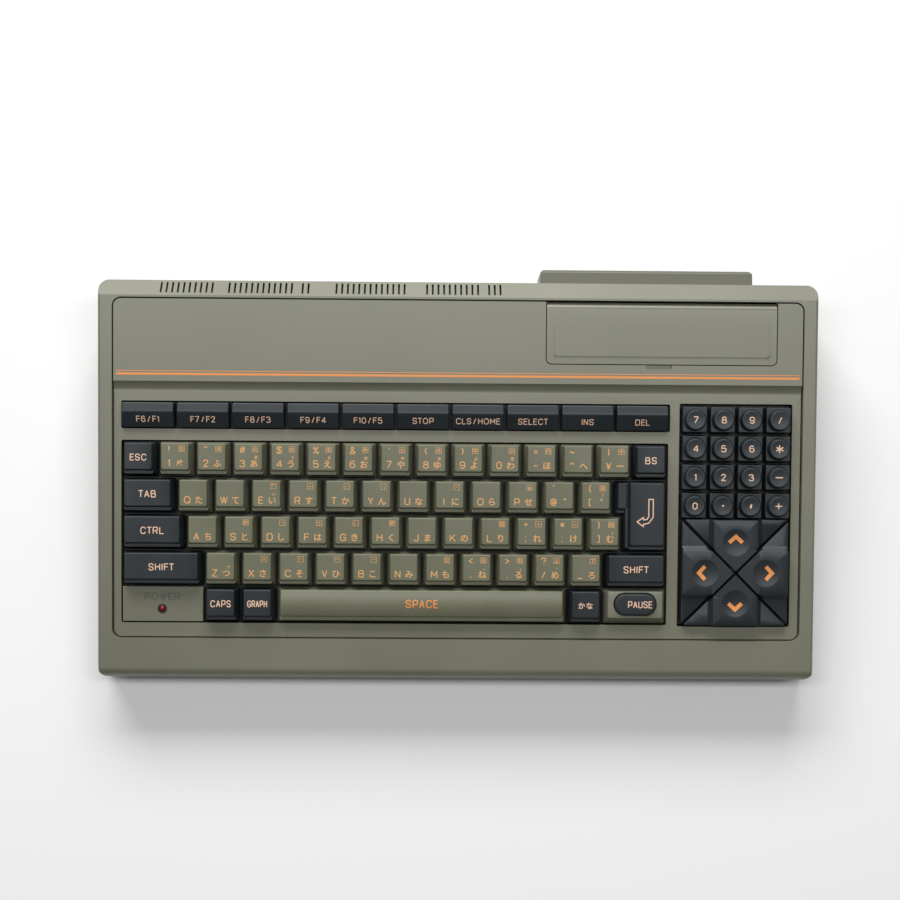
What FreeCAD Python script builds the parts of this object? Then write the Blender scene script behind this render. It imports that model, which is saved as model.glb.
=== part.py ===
import FreeCAD, Part
import math
import os

# A slim home computer with a built-in keyboard: a two-part case with a sloping rear
# edge, an inlaid deck that carries the keys, a lidded slot on top and a capped slot behind.
# Lengths are millimetres. Deck frame: u to the right, v to the rear, w square to the deck,
# with its origin at the middle of the key block, on the line through the home row's tops.

# Key lattice
key_pitch = 19.05
key_gap = 0.85
row_units = 15
row_count = 5
home_row_index = 2
running_gap = 0.4
seat_gap = 0.3
overrun = 5.0

# Deck placement and case reach, measured from the key block
deck_tilt = 6.5
deck_height = 35.0
case_left_border = 12.3
case_right_border = 78.0
front_bend = 72.5
front_radius = 6.0
rear_bend = 122.0
rear_slope_run = 8.2
rear_slope_drop = 7.2
case_wall = 2.5
case_corner_radius = 5.0
rail_edge_radius = 1.6
foot_height = 3.0
parting_height = 12.0
parting_gap = 0.25

# Deck panel
rail_width = 7.4
groove_width = 0.8
panel_front_edge = 56.6
panel_rear_edge = 120.1
panel_corner_radius = 4.0
panel_thickness = 2.2
deck_recess = 2.2
header_edge = 77.3
cove_foot = 71.5
skirt_thickness = 2.0
ledge_reach = 3.0
ledge_thickness = 1.8
opening_margin = 0.35
opening_corner_radius = 1.0
pillar_side = 3.6

# Keys
key_top = 4.3
key_foot = -4.2
top_rearward = 1.5
side_slope = 1.96
rear_slope_inset = 0.65
front_slope_inset = 3.6
dish_depth = 0.6
dish_rim = 0.3
dish_bank = 4.0
cap_wall = 1.2
cap_roof = 2.0
plunger_side = 5.2
plunger_clearance = 0.4
space_top = 3.6
space_crown = 1.2
return_wing_top = 0.4
return_bar_inset = 1.4

# Function keys
function_pitch = 28.66
function_gap = 1.5
function_front = 53.0
function_rear = 66.3
function_crease = 61.6
function_crease_top = 2.4
function_front_top = -0.6
function_rear_top = 0.9
function_opening_front = 52.4
function_opening_rear = 67.0

# Keypad and cursor keys
keypad_pitch_u = 14.64
keypad_pitch_v = 15.0
keypad_gap = 1.3
keypad_centre = 178.6
keypad_top_row = 59.2
keypad_shelf = 0.6
keypad_shelf_inset = 0.3
pad_foot_radius = 5.9
pad_radius = 5.1
pad_top = 4.2
keypad_opening_half = 29.7
keypad_opening_front = 50.1
keypad_opening_rear = 67.5
cursor_centre = -21.0
cursor_reach = 28.6
cursor_gap = 0.65
cursor_shelf = 0.8
cursor_pad_half = 11.5
cursor_step_half = 14.0
cursor_pad_top = 3.2
cursor_thumb_place = 16.0
cursor_thumb_radius = 7.0
cursor_thumb_depth = 0.8

# Keyboard layers under the deck
frame_top = -8.0
frame_thickness = 2.0
frame_rim = 2.0
plunger_foot = -10.8
sheet_top = -14.25
sheet_thickness = 1.0
membrane_thickness = 0.4
back_plate_thickness = 1.2
layer_gap = 0.05

# Lamp panel, lamp and pause key
lamp_radius = 1.8
lamp_rise = 1.0
lamp_place_u = -121.8
lamp_place_v = -42.0
pause_block_top = 2.2
pause_pill_length = 21.8
pause_pill_width = 11.4
pause_pill_top = 3.4
pause_pill_rearward = 0.3

# Slot lid and its well
lid_left = 78.6
lid_right = 199.0
lid_front = 87.9
lid_gap = 0.5
lid_corner_radius = 2.6
lid_thickness = 2.0
lid_roll_radius = 4.2
lid_tail_inner = 2.2
lid_ear_width = 2.6
hinge_pin_radius = 1.0
hinge_pin_clearance = 0.06
boss_width = 3.4
boss_reach = 2.0
notch_left = 130.6
notch_right = 144.2
notch_depth = 2.6
notch_radius = 1.2
notch_sink = 1.4
lid_field_margin = 4.0
lid_field_rear_margin = 6.6
lid_field_rise = 0.4
well_opening_length = 111.5
well_opening_width = 18.5
well_wall = 1.6
well_depth = 17.0
well_front_margin = 3.6
flange_overlap = 4.2

# Cartridge connectors
connector_length = 84.0
connector_width = 9.0
connector_height = 10.0
connector_slit_length = 76.0
connector_slit_width = 2.4
connector_slit_depth = 7.0

# Rear slot and its cap
cap_left = 76.0
cap_right = 188.6
cap_reach = 8.6
cap_bottom = 14.5
cap_top = 36.5
cap_collar = 3.0
cap_shell = 1.8
cap_fit = 0.35
cap_edge = 1.4
rear_tunnel_wall = 1.6
rear_tunnel_depth = 15.0

# Vents in the rear slope: groups counted from the left
vent_pitch = 2.96
vent_width = 1.0
vent_front_place = 123.3
vent_rear_place = 129.0
vent_first = -122.7
vent_groups = (10, 12, 2, 13, 10, 3)
vent_wide_gaps = (8.8, 5.7, 14.7, 11.8, 5.8)

# Circuit boards
board_height = 9.0
board_thickness = 1.6
board_left = -105.0
board_right = 205.0
board_front = -8.0
board_rear = 112.0
board_post_radius = 3.0
keyboard_post_front = -38.0
keyboard_post_rear = 26.0
power_board_left = -148.0
power_board_right = -108.0
power_board_front = 34.0
transformer_width = 40.0
transformer_depth = 36.0
transformer_height = 20.0
transformer_coil_height = 16.0
transformer_coil_overhang = 6.0
transformer_place_v = 92.0
chip_columns = 5
chip_row_front = 20.0
chip_row_rear = 48.0
chip_length = 38.0
chip_width = 14.0
chip_height = 3.6
capacitor_pitch = 16.0
capacitor_radius = 6.0
capacitor_height = 10.0

# Sockets on the rear wall, by distance from the case's left side
socket_height = 22.0
bay_depth = 8.5
bay_start = 21.0
bay_end = 226.0
bay_top = 33.0
bay_wall = 1.6
gland_place = 31.0
gland_radius = 4.6
gland_flange_radius = 6.6
gland_length = 8.0
gland_bore_radius = 2.4
switch_place = 48.0
switch_width = 15.0
switch_opening_height = 11.0
switch_depth = 12.0
switch_swing = 20.0
rocker_back = 2.0
rocker_face = 3.6
rocker_waist = 2.6
rocker_corner_drop = 0.9
bezel_reach = 1.6
bezel_thickness = 1.2
rf_place = 86.0
rf_width = 44.0
rf_height = 18.0
rf_depth = 40.0
rca_radius = 4.2
rca_bore_radius = 1.6
rca_reach = 8.0
rca_flange_radius = 5.6
av_place = 124.0
av_pitch = 15.0
slider_width = 4.0
slider_height = 3.0
slider_reach = 1.4
slider_travel = 3.0
slider_stem = 5.0
socket_body_depth = 12.0
din_place = 164.0
din_radius = 7.2
din_body_side = 18.0
din_depth = 14.0
din_throat = 6.0
din_core_radius = 4.6
printer_place = 198.0
printer_length = 44.0
printer_height = 11.0
printer_reach = 6.5
printer_depth = 14.0

# Joystick ports on the right side wall
port_place_front = -8.0
port_spacing = 44.0
port_shell_length = 19.0
port_shell_height = 10.5
port_flange_length = 31.0
port_flange_height = 12.5
port_reach = 3.2
port_depth = 9.0
port_height = 20.0
port_sheet = 0.8
pin_radius = 0.5
pin_pitch = 2.76

# Underside
foot_radius = 7.0
foot_inset = 22.0
foot_recess = 1.0
screw_head_radius = 3.2
screw_shank_radius = 1.5
screw_inset = 12.0
screw_head_depth = 2.0
screw_slot = 0.8
screw_well_radius = 4.0
screw_post_radius = 3.6
floor_slit_length = 40.0
floor_slit_width = 2.4
floor_slit_pitch = 7.0
floor_slit_count = 9

# Worked-out places
block_half = row_units * key_pitch / 2
case_left = -block_half - case_left_border
case_right = block_half + case_right_border
case_middle = (case_left + case_right) / 2
tilt_cos = math.cos(math.radians(deck_tilt))
tilt_sin = math.sin(math.radians(deck_tilt))
panel_left = case_left + rail_width + groove_width
panel_right = case_right - rail_width - groove_width
front_wall_y = -(front_bend + front_radius) * tilt_cos + front_radius * tilt_sin
rear_wall_v = rear_bend + rear_slope_run
rear_wall_y = rear_wall_v * tilt_cos + rear_slope_drop * tilt_sin
socket_wall_y = rear_wall_y - bay_depth
depth_middle = (front_wall_y + rear_wall_y + cap_reach) / 2
floor_top = foot_height + case_wall
surround_top = -deck_recess
surround_foot = surround_top - panel_thickness
skirt_foot = surround_foot - seat_gap
UP = FreeCAD.Vector(0, 0, 1)
ORIGIN = FreeCAD.Vector(0, 0, 0)
deck_place = FreeCAD.Placement(
    FreeCAD.Vector(-case_middle, -depth_middle, deck_height),
    FreeCAD.Rotation(FreeCAD.Vector(1, 0, 0), deck_tilt),
)
plunger_places = []


def box(x0, x1, y0, y1, z0, z1):
    return Part.makeBox(x1 - x0, y1 - y0, z1 - z0, FreeCAD.Vector(x0, y0, z0))


def face_of(points):
    wire = Part.makePolygon([FreeCAD.Vector(*point) for point in points + points[:1]])
    return Part.Face(wire)


def plate(x0, x1, y0, y1, radius, z0, z1):
    """A flat plate with four rounded corners."""
    solid = box(x0, x1, y0, y1, z0, z1)
    uprights = [edge for edge in solid.Edges if abs(edge.tangentAt(edge.FirstParameter).z) > tilt_cos]
    return solid.makeFillet(radius, uprights)


def tapered(low, high):
    """A solid between two outlines with the same number of corners, closed by flat faces."""
    faces = [face_of(low), face_of(high)]
    for index in range(len(low)):
        after = (index + 1) % len(low)
        faces.append(face_of([low[index], low[after], high[after], high[index]]))
    shell = Part.Shell(faces)
    shell.sewShape()
    solid = Part.Solid(shell)
    if solid.Volume < 0:
        solid.reverse()
    return solid


def frustum(foot, z0, top, z1):
    """A tapered block between two rectangles, each given as x0, x1, y0, y1."""
    outlines = []
    for (x0, x1, y0, y1), z in ((foot, z0), (top, z1)):
        outlines.append([(x0, y0, z), (x1, y0, z), (x1, y1, z), (x0, y1, z)])
    return tapered(outlines[0], outlines[1])


def ring_points(x, y, radius, z, sides):
    turn = 2 * math.pi / sides
    return [(x + radius * math.cos((index + 0.5) * turn), y + radius * math.sin((index + 0.5) * turn), z)
            for index in range(sides)]


def post(x, y, radius, z0, z1, sides=8, top_radius=None):
    """An upright round post, drawn with flat sides to keep small round pieces light."""
    high = radius if top_radius is None else top_radius
    return tapered(ring_points(x, y, radius, z0, sides), ring_points(x, y, high, z1, sides))


def rod(x, y, z, radius, length, axis, sides=12, end_radius=None):
    """A level round rod along X or Y, drawn with flat sides."""
    shape = post(0, 0, radius, 0, length, sides, end_radius)
    shape.rotate(ORIGIN, FreeCAD.Vector(-axis[1], axis[0], 0), 90)
    shape.translate(FreeCAD.Vector(x, y, z))
    return shape


def true_rod(x, y, z, radius, length, axis):
    """A truly round rod or bore, for pieces that turn on it."""
    return Part.makeCylinder(radius, length, FreeCAD.Vector(x, y, z), FreeCAD.Vector(*axis))


def on_deck(shape):
    """Move a shape from the deck frame to its place in the computer."""
    placed = shape.copy()
    placed.Placement = deck_place.multiply(placed.Placement)
    return placed


def in_case(shape):
    """Move a level shape, drawn over the case's own left-right middle, to its place."""
    placed = shape.copy()
    placed.translate(FreeCAD.Vector(-case_middle, -depth_middle, 0))
    return placed


def fused(shapes):
    joined = shapes[0]
    if len(shapes) > 1:
        joined = shapes[0].multiFuse(shapes[1:])
    return joined.removeSplitter()


def save(name, shape):
    shape.exportStep(os.path.join("parts", name + ".step"))


# Case shell
def case_profile(inset):
    """Side profile of the closed case, drawn in level y and z and pulled in by inset."""
    def level(v, w):
        return (v * tilt_cos - w * tilt_sin, deck_height + v * tilt_sin + w * tilt_cos)
    bend = front_radius - inset
    start = level(-front_bend, -inset)
    middle = level(-front_bend - bend * math.sin(math.pi / 4), -front_radius + bend * math.cos(math.pi / 4))
    end = level(-front_bend - bend, -front_radius)
    slope_angle = math.atan2(rear_slope_drop, rear_slope_run)
    shoulder = level(rear_bend - inset * math.tan(slope_angle / 2), -inset)
    wall_y = level(rear_wall_v, -rear_slope_drop)[0] - inset
    slope_level = slope_angle - math.radians(deck_tilt)
    heel = (wall_y, shoulder[1] - (wall_y - shoulder[0]) * math.tan(slope_level))
    floor = foot_height + inset
    at = [FreeCAD.Vector(0, y, z) for y, z in (start, middle, end, shoulder, heel)]
    low_front = FreeCAD.Vector(0, end[0], floor)
    low_rear = FreeCAD.Vector(0, wall_y, floor)
    edges = [
        Part.Arc(at[0], at[1], at[2]).toShape(),
        Part.makeLine(at[2], low_front),
        Part.makeLine(low_front, low_rear),
        Part.makeLine(low_rear, at[4]),
        Part.makeLine(at[4], at[3]),
        Part.makeLine(at[3], at[0]),
    ]
    return Part.Face(Part.Wire(edges))


def case_block(inset):
    profile = case_profile(inset)
    profile.translate(FreeCAD.Vector(case_left + inset, 0, 0))
    body = profile.extrude(FreeCAD.Vector(case_right - case_left - 2 * inset, 0, 0))
    bounds = body.BoundBox
    corner = case_corner_radius - inset / 2
    outline = plate(case_left + inset, case_right - inset, bounds.YMin, bounds.YMax, corner,
                    bounds.ZMin - overrun, bounds.ZMax + overrun)
    return body.common(outline)


def rail_rounding():
    """A long prism over the deck whose upper side edges are rounded like the rails."""
    radius = rail_edge_radius
    low = -2 * deck_height
    outer = box(case_left, case_right, -rear_wall_v, rear_wall_v + overrun, low, 0)
    sides = [edge for edge in outer.Edges if abs(edge.tangentAt(edge.FirstParameter).y) > tilt_cos
             and edge.CenterOfMass.z > low + overrun]
    rounded = outer.makeFillet(radius, sides)
    rounded.Placement = FreeCAD.Placement(FreeCAD.Vector(0, 0, deck_height),
                                          FreeCAD.Rotation(FreeCAD.Vector(1, 0, 0), deck_tilt))
    return rounded


def deck_tool(shape):
    """Tilt a deck-frame tool into the case's level frame before the case is moved to its place."""
    tool = shape.copy()
    tool.Placement = FreeCAD.Placement(
        FreeCAD.Vector(0, 0, deck_height), FreeCAD.Rotation(FreeCAD.Vector(1, 0, 0), deck_tilt)
    ).multiply(tool.Placement)
    return tool


outer_block = case_block(0).common(rail_rounding())
inner_block = case_block(case_wall)
case_shell = outer_block.cut(inner_block)
case_bounds = outer_block.BoundBox


def vent_slits():
    """Short slits that run down the rear slope, in uneven groups."""
    slits = []
    place = vent_first
    for group, count in enumerate(vent_groups):
        for slit in range(count):
            slits.append(box(place - vent_width / 2, place + vent_width / 2, vent_front_place,
                             vent_rear_place, -rear_slope_drop - case_wall - overrun, overrun))
            place += vent_pitch
        if group < len(vent_wide_gaps):
            place += vent_wide_gaps[group] - vent_pitch
    return deck_tool(Part.makeCompound(slits))


# Upper case: rails, rear slope and walls down to the parting line
def panel_seat():
    """The wall and ledge round the deck opening that carry the deck panel."""
    opening = (case_left + rail_width, case_right - rail_width,
               -panel_front_edge - groove_width, panel_rear_edge + groove_width)
    left, right, front, rear = opening
    low = skirt_foot - seat_gap - ledge_thickness
    wall = plate(left - skirt_thickness, right + skirt_thickness, front - skirt_thickness,
                 rear + skirt_thickness, panel_corner_radius + groove_width + skirt_thickness,
                 low, -case_wall / 2)
    inside = plate(left, right, front, rear, panel_corner_radius + groove_width,
                   skirt_foot - seat_gap, overrun)
    ledge_hole = plate(left + ledge_reach, right - ledge_reach, front + ledge_reach,
                       rear - ledge_reach, panel_corner_radius, low - overrun, overrun)
    lid_room = box(lid_left - lid_gap, lid_right + lid_gap, panel_rear_edge - lid_roll_radius * 2,
                   rear, low - overrun, 0)
    seat = wall.cut(inside).cut(ledge_hole).cut(lid_room)
    hole = plate(left, right, front, rear, panel_corner_radius + groove_width, -case_wall - overrun, overrun)
    return deck_tool(seat), deck_tool(hole), deck_tool(inside)


def rear_wall_hole(place, width, low, high):
    x = case_left + place
    return box(x - width / 2, x + width / 2, socket_wall_y - case_wall - overrun, socket_wall_y + overrun,
               low, high)


def rear_round_hole(place, radius):
    return rod(case_left + place, socket_wall_y - case_wall - overrun, socket_height, radius,
               case_wall + 2 * overrun, (0, 1, 0))


rear_holes = [
    rear_round_hole(gland_place, gland_radius + seat_gap),
    rear_wall_hole(switch_place, switch_width + 2 * seat_gap, socket_height - switch_opening_height / 2,
                   socket_height + switch_opening_height / 2),
    rear_round_hole(rf_place - rf_width / 4, rca_radius + seat_gap),
    rear_wall_hole(rf_place + rf_width / 4, slider_width + slider_travel + 2 * running_gap,
                   socket_height - slider_height / 2 - running_gap,
                   socket_height + slider_height / 2 + running_gap),
    rear_round_hole(av_place, rca_radius + seat_gap),
    rear_round_hole(av_place + av_pitch, rca_radius + seat_gap),
    rear_round_hole(din_place, din_radius + seat_gap),
    rear_wall_hole(printer_place, printer_length + 2 * seat_gap,
                   socket_height - printer_height / 2 - seat_gap,
                   socket_height + printer_height / 2 + seat_gap),
]
tunnel_left = cap_left + cap_shell + cap_fit + rear_tunnel_wall
tunnel_right = cap_right - cap_shell - cap_fit - rear_tunnel_wall
tunnel_low = cap_bottom + cap_shell + cap_fit + rear_tunnel_wall
tunnel_high = cap_top - cap_shell - cap_fit - rear_tunnel_wall


def rear_tunnel():
    """The square sleeve behind the rear slot, which stands proud of the wall inside the cap."""
    outer = box(tunnel_left - rear_tunnel_wall, tunnel_right + rear_tunnel_wall,
                rear_wall_y - rear_tunnel_depth, rear_wall_y + cap_collar,
                tunnel_low - rear_tunnel_wall, tunnel_high + rear_tunnel_wall)
    hole = box(tunnel_left, tunnel_right, rear_wall_y - rear_tunnel_depth + rear_tunnel_wall,
               rear_wall_y + cap_collar + overrun, tunnel_low, tunnel_high)
    middle = (tunnel_left + tunnel_right) / 2
    rise = (tunnel_low + tunnel_high) / 2
    half = connector_length / 2 + layer_gap
    seat = box(middle - half, middle + half, rear_wall_y - rear_tunnel_depth - overrun, rear_wall_y,
               rise - connector_width / 2 - layer_gap, rise + connector_width / 2 + layer_gap)
    return outer, hole.fuse(seat)


def socket_bay():
    """The recess in the rear wall whose back carries the sockets, so that no plug stands out."""
    left = case_left + bay_start
    right = case_left + bay_end
    low = parting_height + parting_gap
    outer = box(left - bay_wall, right + bay_wall, socket_wall_y - case_wall, rear_wall_y - case_wall / 2,
                low, bay_top + bay_wall)
    pocket = box(left, right, socket_wall_y, rear_wall_y + overrun, low + bay_wall, bay_top)
    return outer, pocket


def port_hole(number):
    y = port_place_front + number * port_spacing
    half = port_shell_length / 2 + seat_gap
    rise = port_shell_height / 2 + seat_gap
    return box(case_right - case_wall - overrun, case_right + overrun, y - half, y + half,
               port_height - rise, port_height + rise)


screw_places = [(case_middle, case_bounds.YMin + screw_inset)]
for screw_x in (case_left + screw_inset, case_right - screw_inset):
    for screw_y in (case_bounds.YMin + screw_inset, case_bounds.YMax - screw_inset):
        screw_places.append((screw_x, screw_y))


def upper_case():
    seat, hole, inside = panel_seat()
    shell = case_shell.common(box(case_left - overrun, case_right + overrun, case_bounds.YMin - overrun,
                                  case_bounds.YMax + overrun, parting_height + parting_gap,
                                  case_bounds.ZMax + overrun))
    tunnel, tunnel_hole = rear_tunnel()
    bay, pocket = socket_bay()
    shell = shell.cut(hole).fuse(seat.common(outer_block)).fuse(tunnel).fuse(bay)
    posts = []
    for x, y in screw_places:
        column = post(x, y, screw_post_radius, parting_height + parting_gap, case_bounds.ZMax)
        posts.append(column.common(case_block(case_wall / 2)))
    ceiling = deck_tool(box(case_left, case_right, -rear_wall_v, rear_wall_v, -case_wall, deck_height))
    posts = [column.cut(ceiling).cut(inside) for column in posts]
    shell = shell.multiFuse(posts)
    bores = [post(x, y, screw_shank_radius, 0, parting_height + parting_gap + screw_post_radius * 2)
             for x, y in screw_places]
    shell = shell.cut(Part.makeCompound(rear_holes + [pocket, tunnel_hole] + bores))
    shell = shell.cut(Part.makeCompound([port_hole(0), port_hole(1)]))
    shell = shell.cut(vent_slits())
    return shell


# Lower case: a shallow tray with posts for the boards and the keyboard
def keyboard_posts():
    """Posts that rise to the tilted back plate of the keyboard."""
    low = deck_tool(box(case_left, case_right, -rear_wall_v, rear_wall_v,
                        back_plate_foot - seat_gap, deck_height))
    return [post(x, y, board_post_radius, foot_height + case_wall / 2, deck_height).cut(low)
            for x, y in keyboard_post_places]


keyboard_post_places = []
for post_x in (-block_half, 0, block_half - key_pitch, keypad_centre):
    for post_y in (keyboard_post_front, keyboard_post_rear):
        keyboard_post_places.append((post_x, post_y))
board_post_places = []
for post_u in (board_left + screw_inset, case_middle, board_right - screw_inset):
    for post_v in (board_front + screw_inset, board_rear - screw_inset):
        board_post_places.append((post_u, post_v))
foot_places = []
for foot_x in (case_left + foot_inset, case_right - foot_inset):
    for foot_y in (case_bounds.YMin + foot_inset, case_bounds.YMax - foot_inset):
        foot_places.append((foot_x, foot_y))


def lower_case():
    tray = case_shell.common(box(case_left - overrun, case_right + overrun, case_bounds.YMin - overrun,
                                 case_bounds.YMax + overrun, 0, parting_height))
    columns = keyboard_posts()
    for x, y in board_post_places:
        columns.append(post(x, y, board_post_radius, foot_height + case_wall / 2, board_height))
    for x, y in screw_places:
        columns.append(post(x, y, screw_well_radius + case_wall / 2, foot_height + case_wall / 2,
                            parting_height))
    tray = tray.multiFuse(columns)
    cuts = []
    for x, y in foot_places:
        cuts.append(post(x, y, foot_radius + seat_gap, 0, foot_height + foot_recess, 16))
    for x, y in screw_places:
        cuts.append(post(x, y, screw_well_radius, 0, foot_height + case_wall))
        cuts.append(post(x, y, screw_shank_radius + seat_gap, 0, parting_height + overrun))
    for row in range(floor_slit_count):
        y = board_front + row * floor_slit_pitch
        for x in (case_middle - floor_slit_length, case_middle + floor_slit_length):
            cuts.append(box(x - floor_slit_length / 2, x + floor_slit_length / 2, y, y + floor_slit_width,
                            0, floor_top + seat_gap))
    return tray.cut(Part.makeCompound(cuts))


# Deck panel: raised header behind, hollowed cove, recessed surround with the key openings
def cove_face():
    """The step's section: a quarter ellipse, steep under the header edge and flat at its foot."""
    run = header_edge - cove_foot
    foot = FreeCAD.Vector(panel_left, cove_foot, surround_top)
    edge = FreeCAD.Vector(panel_left, header_edge, 0)
    middle = FreeCAD.Vector(panel_left, cove_foot + run * math.sin(math.pi / 4),
                            surround_top + deck_recess * (1 - math.cos(math.pi / 4)))
    corner = FreeCAD.Vector(panel_left, cove_foot, overrun)
    over = FreeCAD.Vector(panel_left, header_edge, overrun)
    edges = [
        Part.Arc(foot, middle, edge).toShape(),
        Part.makeLine(edge, over),
        Part.makeLine(over, corner),
        Part.makeLine(corner, foot),
    ]
    return Part.Face(Part.Wire(edges))


key_block_front = -row_count * key_pitch / 2 - top_rearward
key_block_rear = row_count * key_pitch / 2 - top_rearward


def deck_openings():
    """Openings for the function keys, the key block and the keypad, as u0, u1, v0, v1."""
    return [
        (-block_half - opening_margin, block_half + opening_margin + function_gap / 2,
         function_opening_front, function_opening_rear),
        (-block_half - opening_margin, block_half + opening_margin,
         key_block_front - opening_margin, key_block_rear + opening_margin),
        (keypad_centre - keypad_opening_half, keypad_centre + keypad_opening_half,
         -keypad_opening_front, keypad_opening_rear),
    ]


def top_panel():
    body = plate(panel_left, panel_right, -panel_front_edge, panel_rear_edge, panel_corner_radius, skirt_foot,
                 0)
    hollow_high = -panel_thickness
    rim = skirt_thickness
    body = body.cut(box(panel_left + rim, panel_right - rim, header_edge, panel_rear_edge - rim,
                        skirt_foot - overrun, hollow_high))
    body = body.cut(box(panel_left + rim, panel_right - rim, -panel_front_edge + rim, header_edge,
                        skirt_foot - overrun, surround_foot))
    body = body.cut(box(panel_left - overrun, panel_right + overrun, -panel_front_edge - overrun, cove_foot,
                        surround_top, overrun))
    body = body.cut(cove_face().extrude(FreeCAD.Vector(panel_right - panel_left, 0, 0)))
    pillars = []
    for u in (-block_half + key_pitch, 0, block_half - key_pitch):
        for v in ((function_opening_front + key_block_rear) / 2,
                  (key_block_front - panel_front_edge - groove_width + ledge_reach) / 2):
            half = pillar_side / 2
            pillars.append(box(u - half, u + half, v - half, v + half, frame_top + seat_gap,
                               surround_foot + seat_gap))
    body = body.multiFuse(pillars)
    for u0, u1, v0, v1 in deck_openings():
        body = body.cut(plate(u0, u1, v0, v1, opening_corner_radius, skirt_foot - overrun, overrun))
    lid_hole = plate(lid_left - lid_gap, lid_right + lid_gap, lid_front - lid_gap,
                     panel_rear_edge + overrun + lid_corner_radius, lid_corner_radius + lid_gap,
                     skirt_foot - overrun, overrun)
    finger_notch = plate(notch_left, notch_right, lid_front - notch_depth, lid_front + notch_depth,
                         notch_radius,
                         -notch_sink, overrun)
    return body.cut(lid_hole).cut(finger_notch)


# Key caps
def cap_shell_block(cell, top_w):
    """A hollow tapered cap over a cell u0, u1, v0, v1, with a steep rear and a long front slope."""
    u0, u1, v0, v1 = cell
    foot = (u0, u1, v0, v1)
    top = (u0 + side_slope, u1 - side_slope, v0 + front_slope_inset, v1 - rear_slope_inset)
    outer = frustum(foot, key_foot, top, top_w)
    inner_foot = (u0 + cap_wall, u1 - cap_wall, v0 + cap_wall, v1 - cap_wall)
    inner_top = (top[0] + cap_wall / 2, top[1] - cap_wall / 2, top[2] + cap_wall / 2, top[3] - cap_wall / 2)
    inner = frustum(inner_foot, key_foot, inner_top, top_w - cap_roof)
    return outer.cut(inner), top


def plunger(u, v, roof):
    half = plunger_side / 2
    plunger_places.append((u, v))
    return box(u - half, u + half, v - half, v + half, plunger_foot, roof)


def dish_cutter(top, top_w):
    """A trough from front to rear that hollows the cap's top and leaves a narrow rim at each side."""
    left = top[0] + dish_rim
    right = top[1] - dish_rim
    start = top[2] - overrun
    section = face_of([
        (left, start, top_w), (left + dish_bank, start, top_w - dish_depth),
        (right - dish_bank, start, top_w - dish_depth), (right, start, top_w),
        (right, start, top_w + overrun), (left, start, top_w + overrun),
    ])
    return section.extrude(FreeCAD.Vector(0, top[3] - top[2] + 2 * overrun, 0))


def block_cell(row, start, units):
    u0 = -block_half + start * key_pitch + key_gap / 2
    u1 = -block_half + (start + units) * key_pitch - key_gap / 2
    middle = (home_row_index - row) * key_pitch - top_rearward
    return (u0, u1, middle - (key_pitch - key_gap) / 2, middle + (key_pitch - key_gap) / 2)


def block_key(row, start, units):
    cell = block_cell(row, start, units)
    cap, top = cap_shell_block(cell, key_top)
    cap = cap.cut(dish_cutter(top, key_top))
    stem = plunger((cell[0] + cell[1]) / 2, (cell[2] + cell[3]) / 2, key_top - cap_roof)
    return cap.fuse(stem)


def key_run(row, start, count):
    return [block_key(row, start + index, 1) for index in range(count)]


def return_key():
    """The tall return key: a raised bar with a low wing at its upper left."""
    upper = block_cell(1, 13.5, 1.5)
    lower = block_cell(2, 13.75, 1.25)
    wing, _ = cap_shell_block(upper, return_wing_top)
    bar_cell = (lower[0] + return_bar_inset, lower[1], lower[2], upper[3])
    bar, top = cap_shell_block(bar_cell, key_top)
    foot = (lower[0], lower[1], lower[2], upper[3])
    shelf_top = (lower[0] + side_slope / 2, lower[1] - side_slope / 2,
                 lower[2] + front_slope_inset / 2, upper[3] - rear_slope_inset)
    shelf = frustum(foot, key_foot, shelf_top, return_wing_top)
    pocket = frustum((foot[0] + cap_wall, foot[1] - cap_wall, foot[2] + cap_wall, foot[3] - cap_wall),
                     key_foot,
                     (shelf_top[0] + cap_wall, shelf_top[1] - cap_wall, shelf_top[2] + cap_wall,
                      shelf_top[3] - cap_wall), return_wing_top - cap_roof)
    bar_pocket = frustum((bar_cell[0] + cap_wall, bar_cell[1] - cap_wall, bar_cell[2] + cap_wall,
                          bar_cell[3] - cap_wall), key_foot,
                         (top[0] + cap_wall, top[1] - cap_wall, top[2] + cap_wall, top[3] - cap_wall),
                         key_top - cap_roof)
    body = wing.fuse(shelf.cut(pocket)).fuse(bar).cut(bar_pocket).cut(dish_cutter(top, key_top))
    middle = (bar_cell[0] + bar_cell[1]) / 2
    stems = [plunger(middle, upper[2], key_top - cap_roof)]
    return body.fuse(stems[0])


def space_bar():
    """A long bar whose top is crowned from front to rear."""
    cell = block_cell(4, 4.25, 8)
    cap, top = cap_shell_block(cell, space_top)
    half = (top[3] - top[2]) / 2
    radius = (half * half + space_crown * space_crown) / (2 * space_crown)
    middle = (top[2] + top[3]) / 2
    crown = true_rod(cell[0] - overrun, middle, space_top - radius, radius, cell[1] - cell[0] + 2 * overrun,
                     (1, 0, 0))
    under = box(cell[0] - overrun, cell[1] + overrun, cell[2] - overrun, cell[3] + overrun,
                key_foot - overrun, space_top - space_crown)
    cap = cap.common(fused([crown, under]))
    centre = (cell[0] + cell[1]) / 2
    depth = (cell[2] + cell[3]) / 2
    roof = space_top - cap_roof
    spread = (cell[1] - cell[0]) / 3
    return cap.multiFuse([plunger(centre + shift, depth, roof) for shift in (-spread, 0, spread)])


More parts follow.
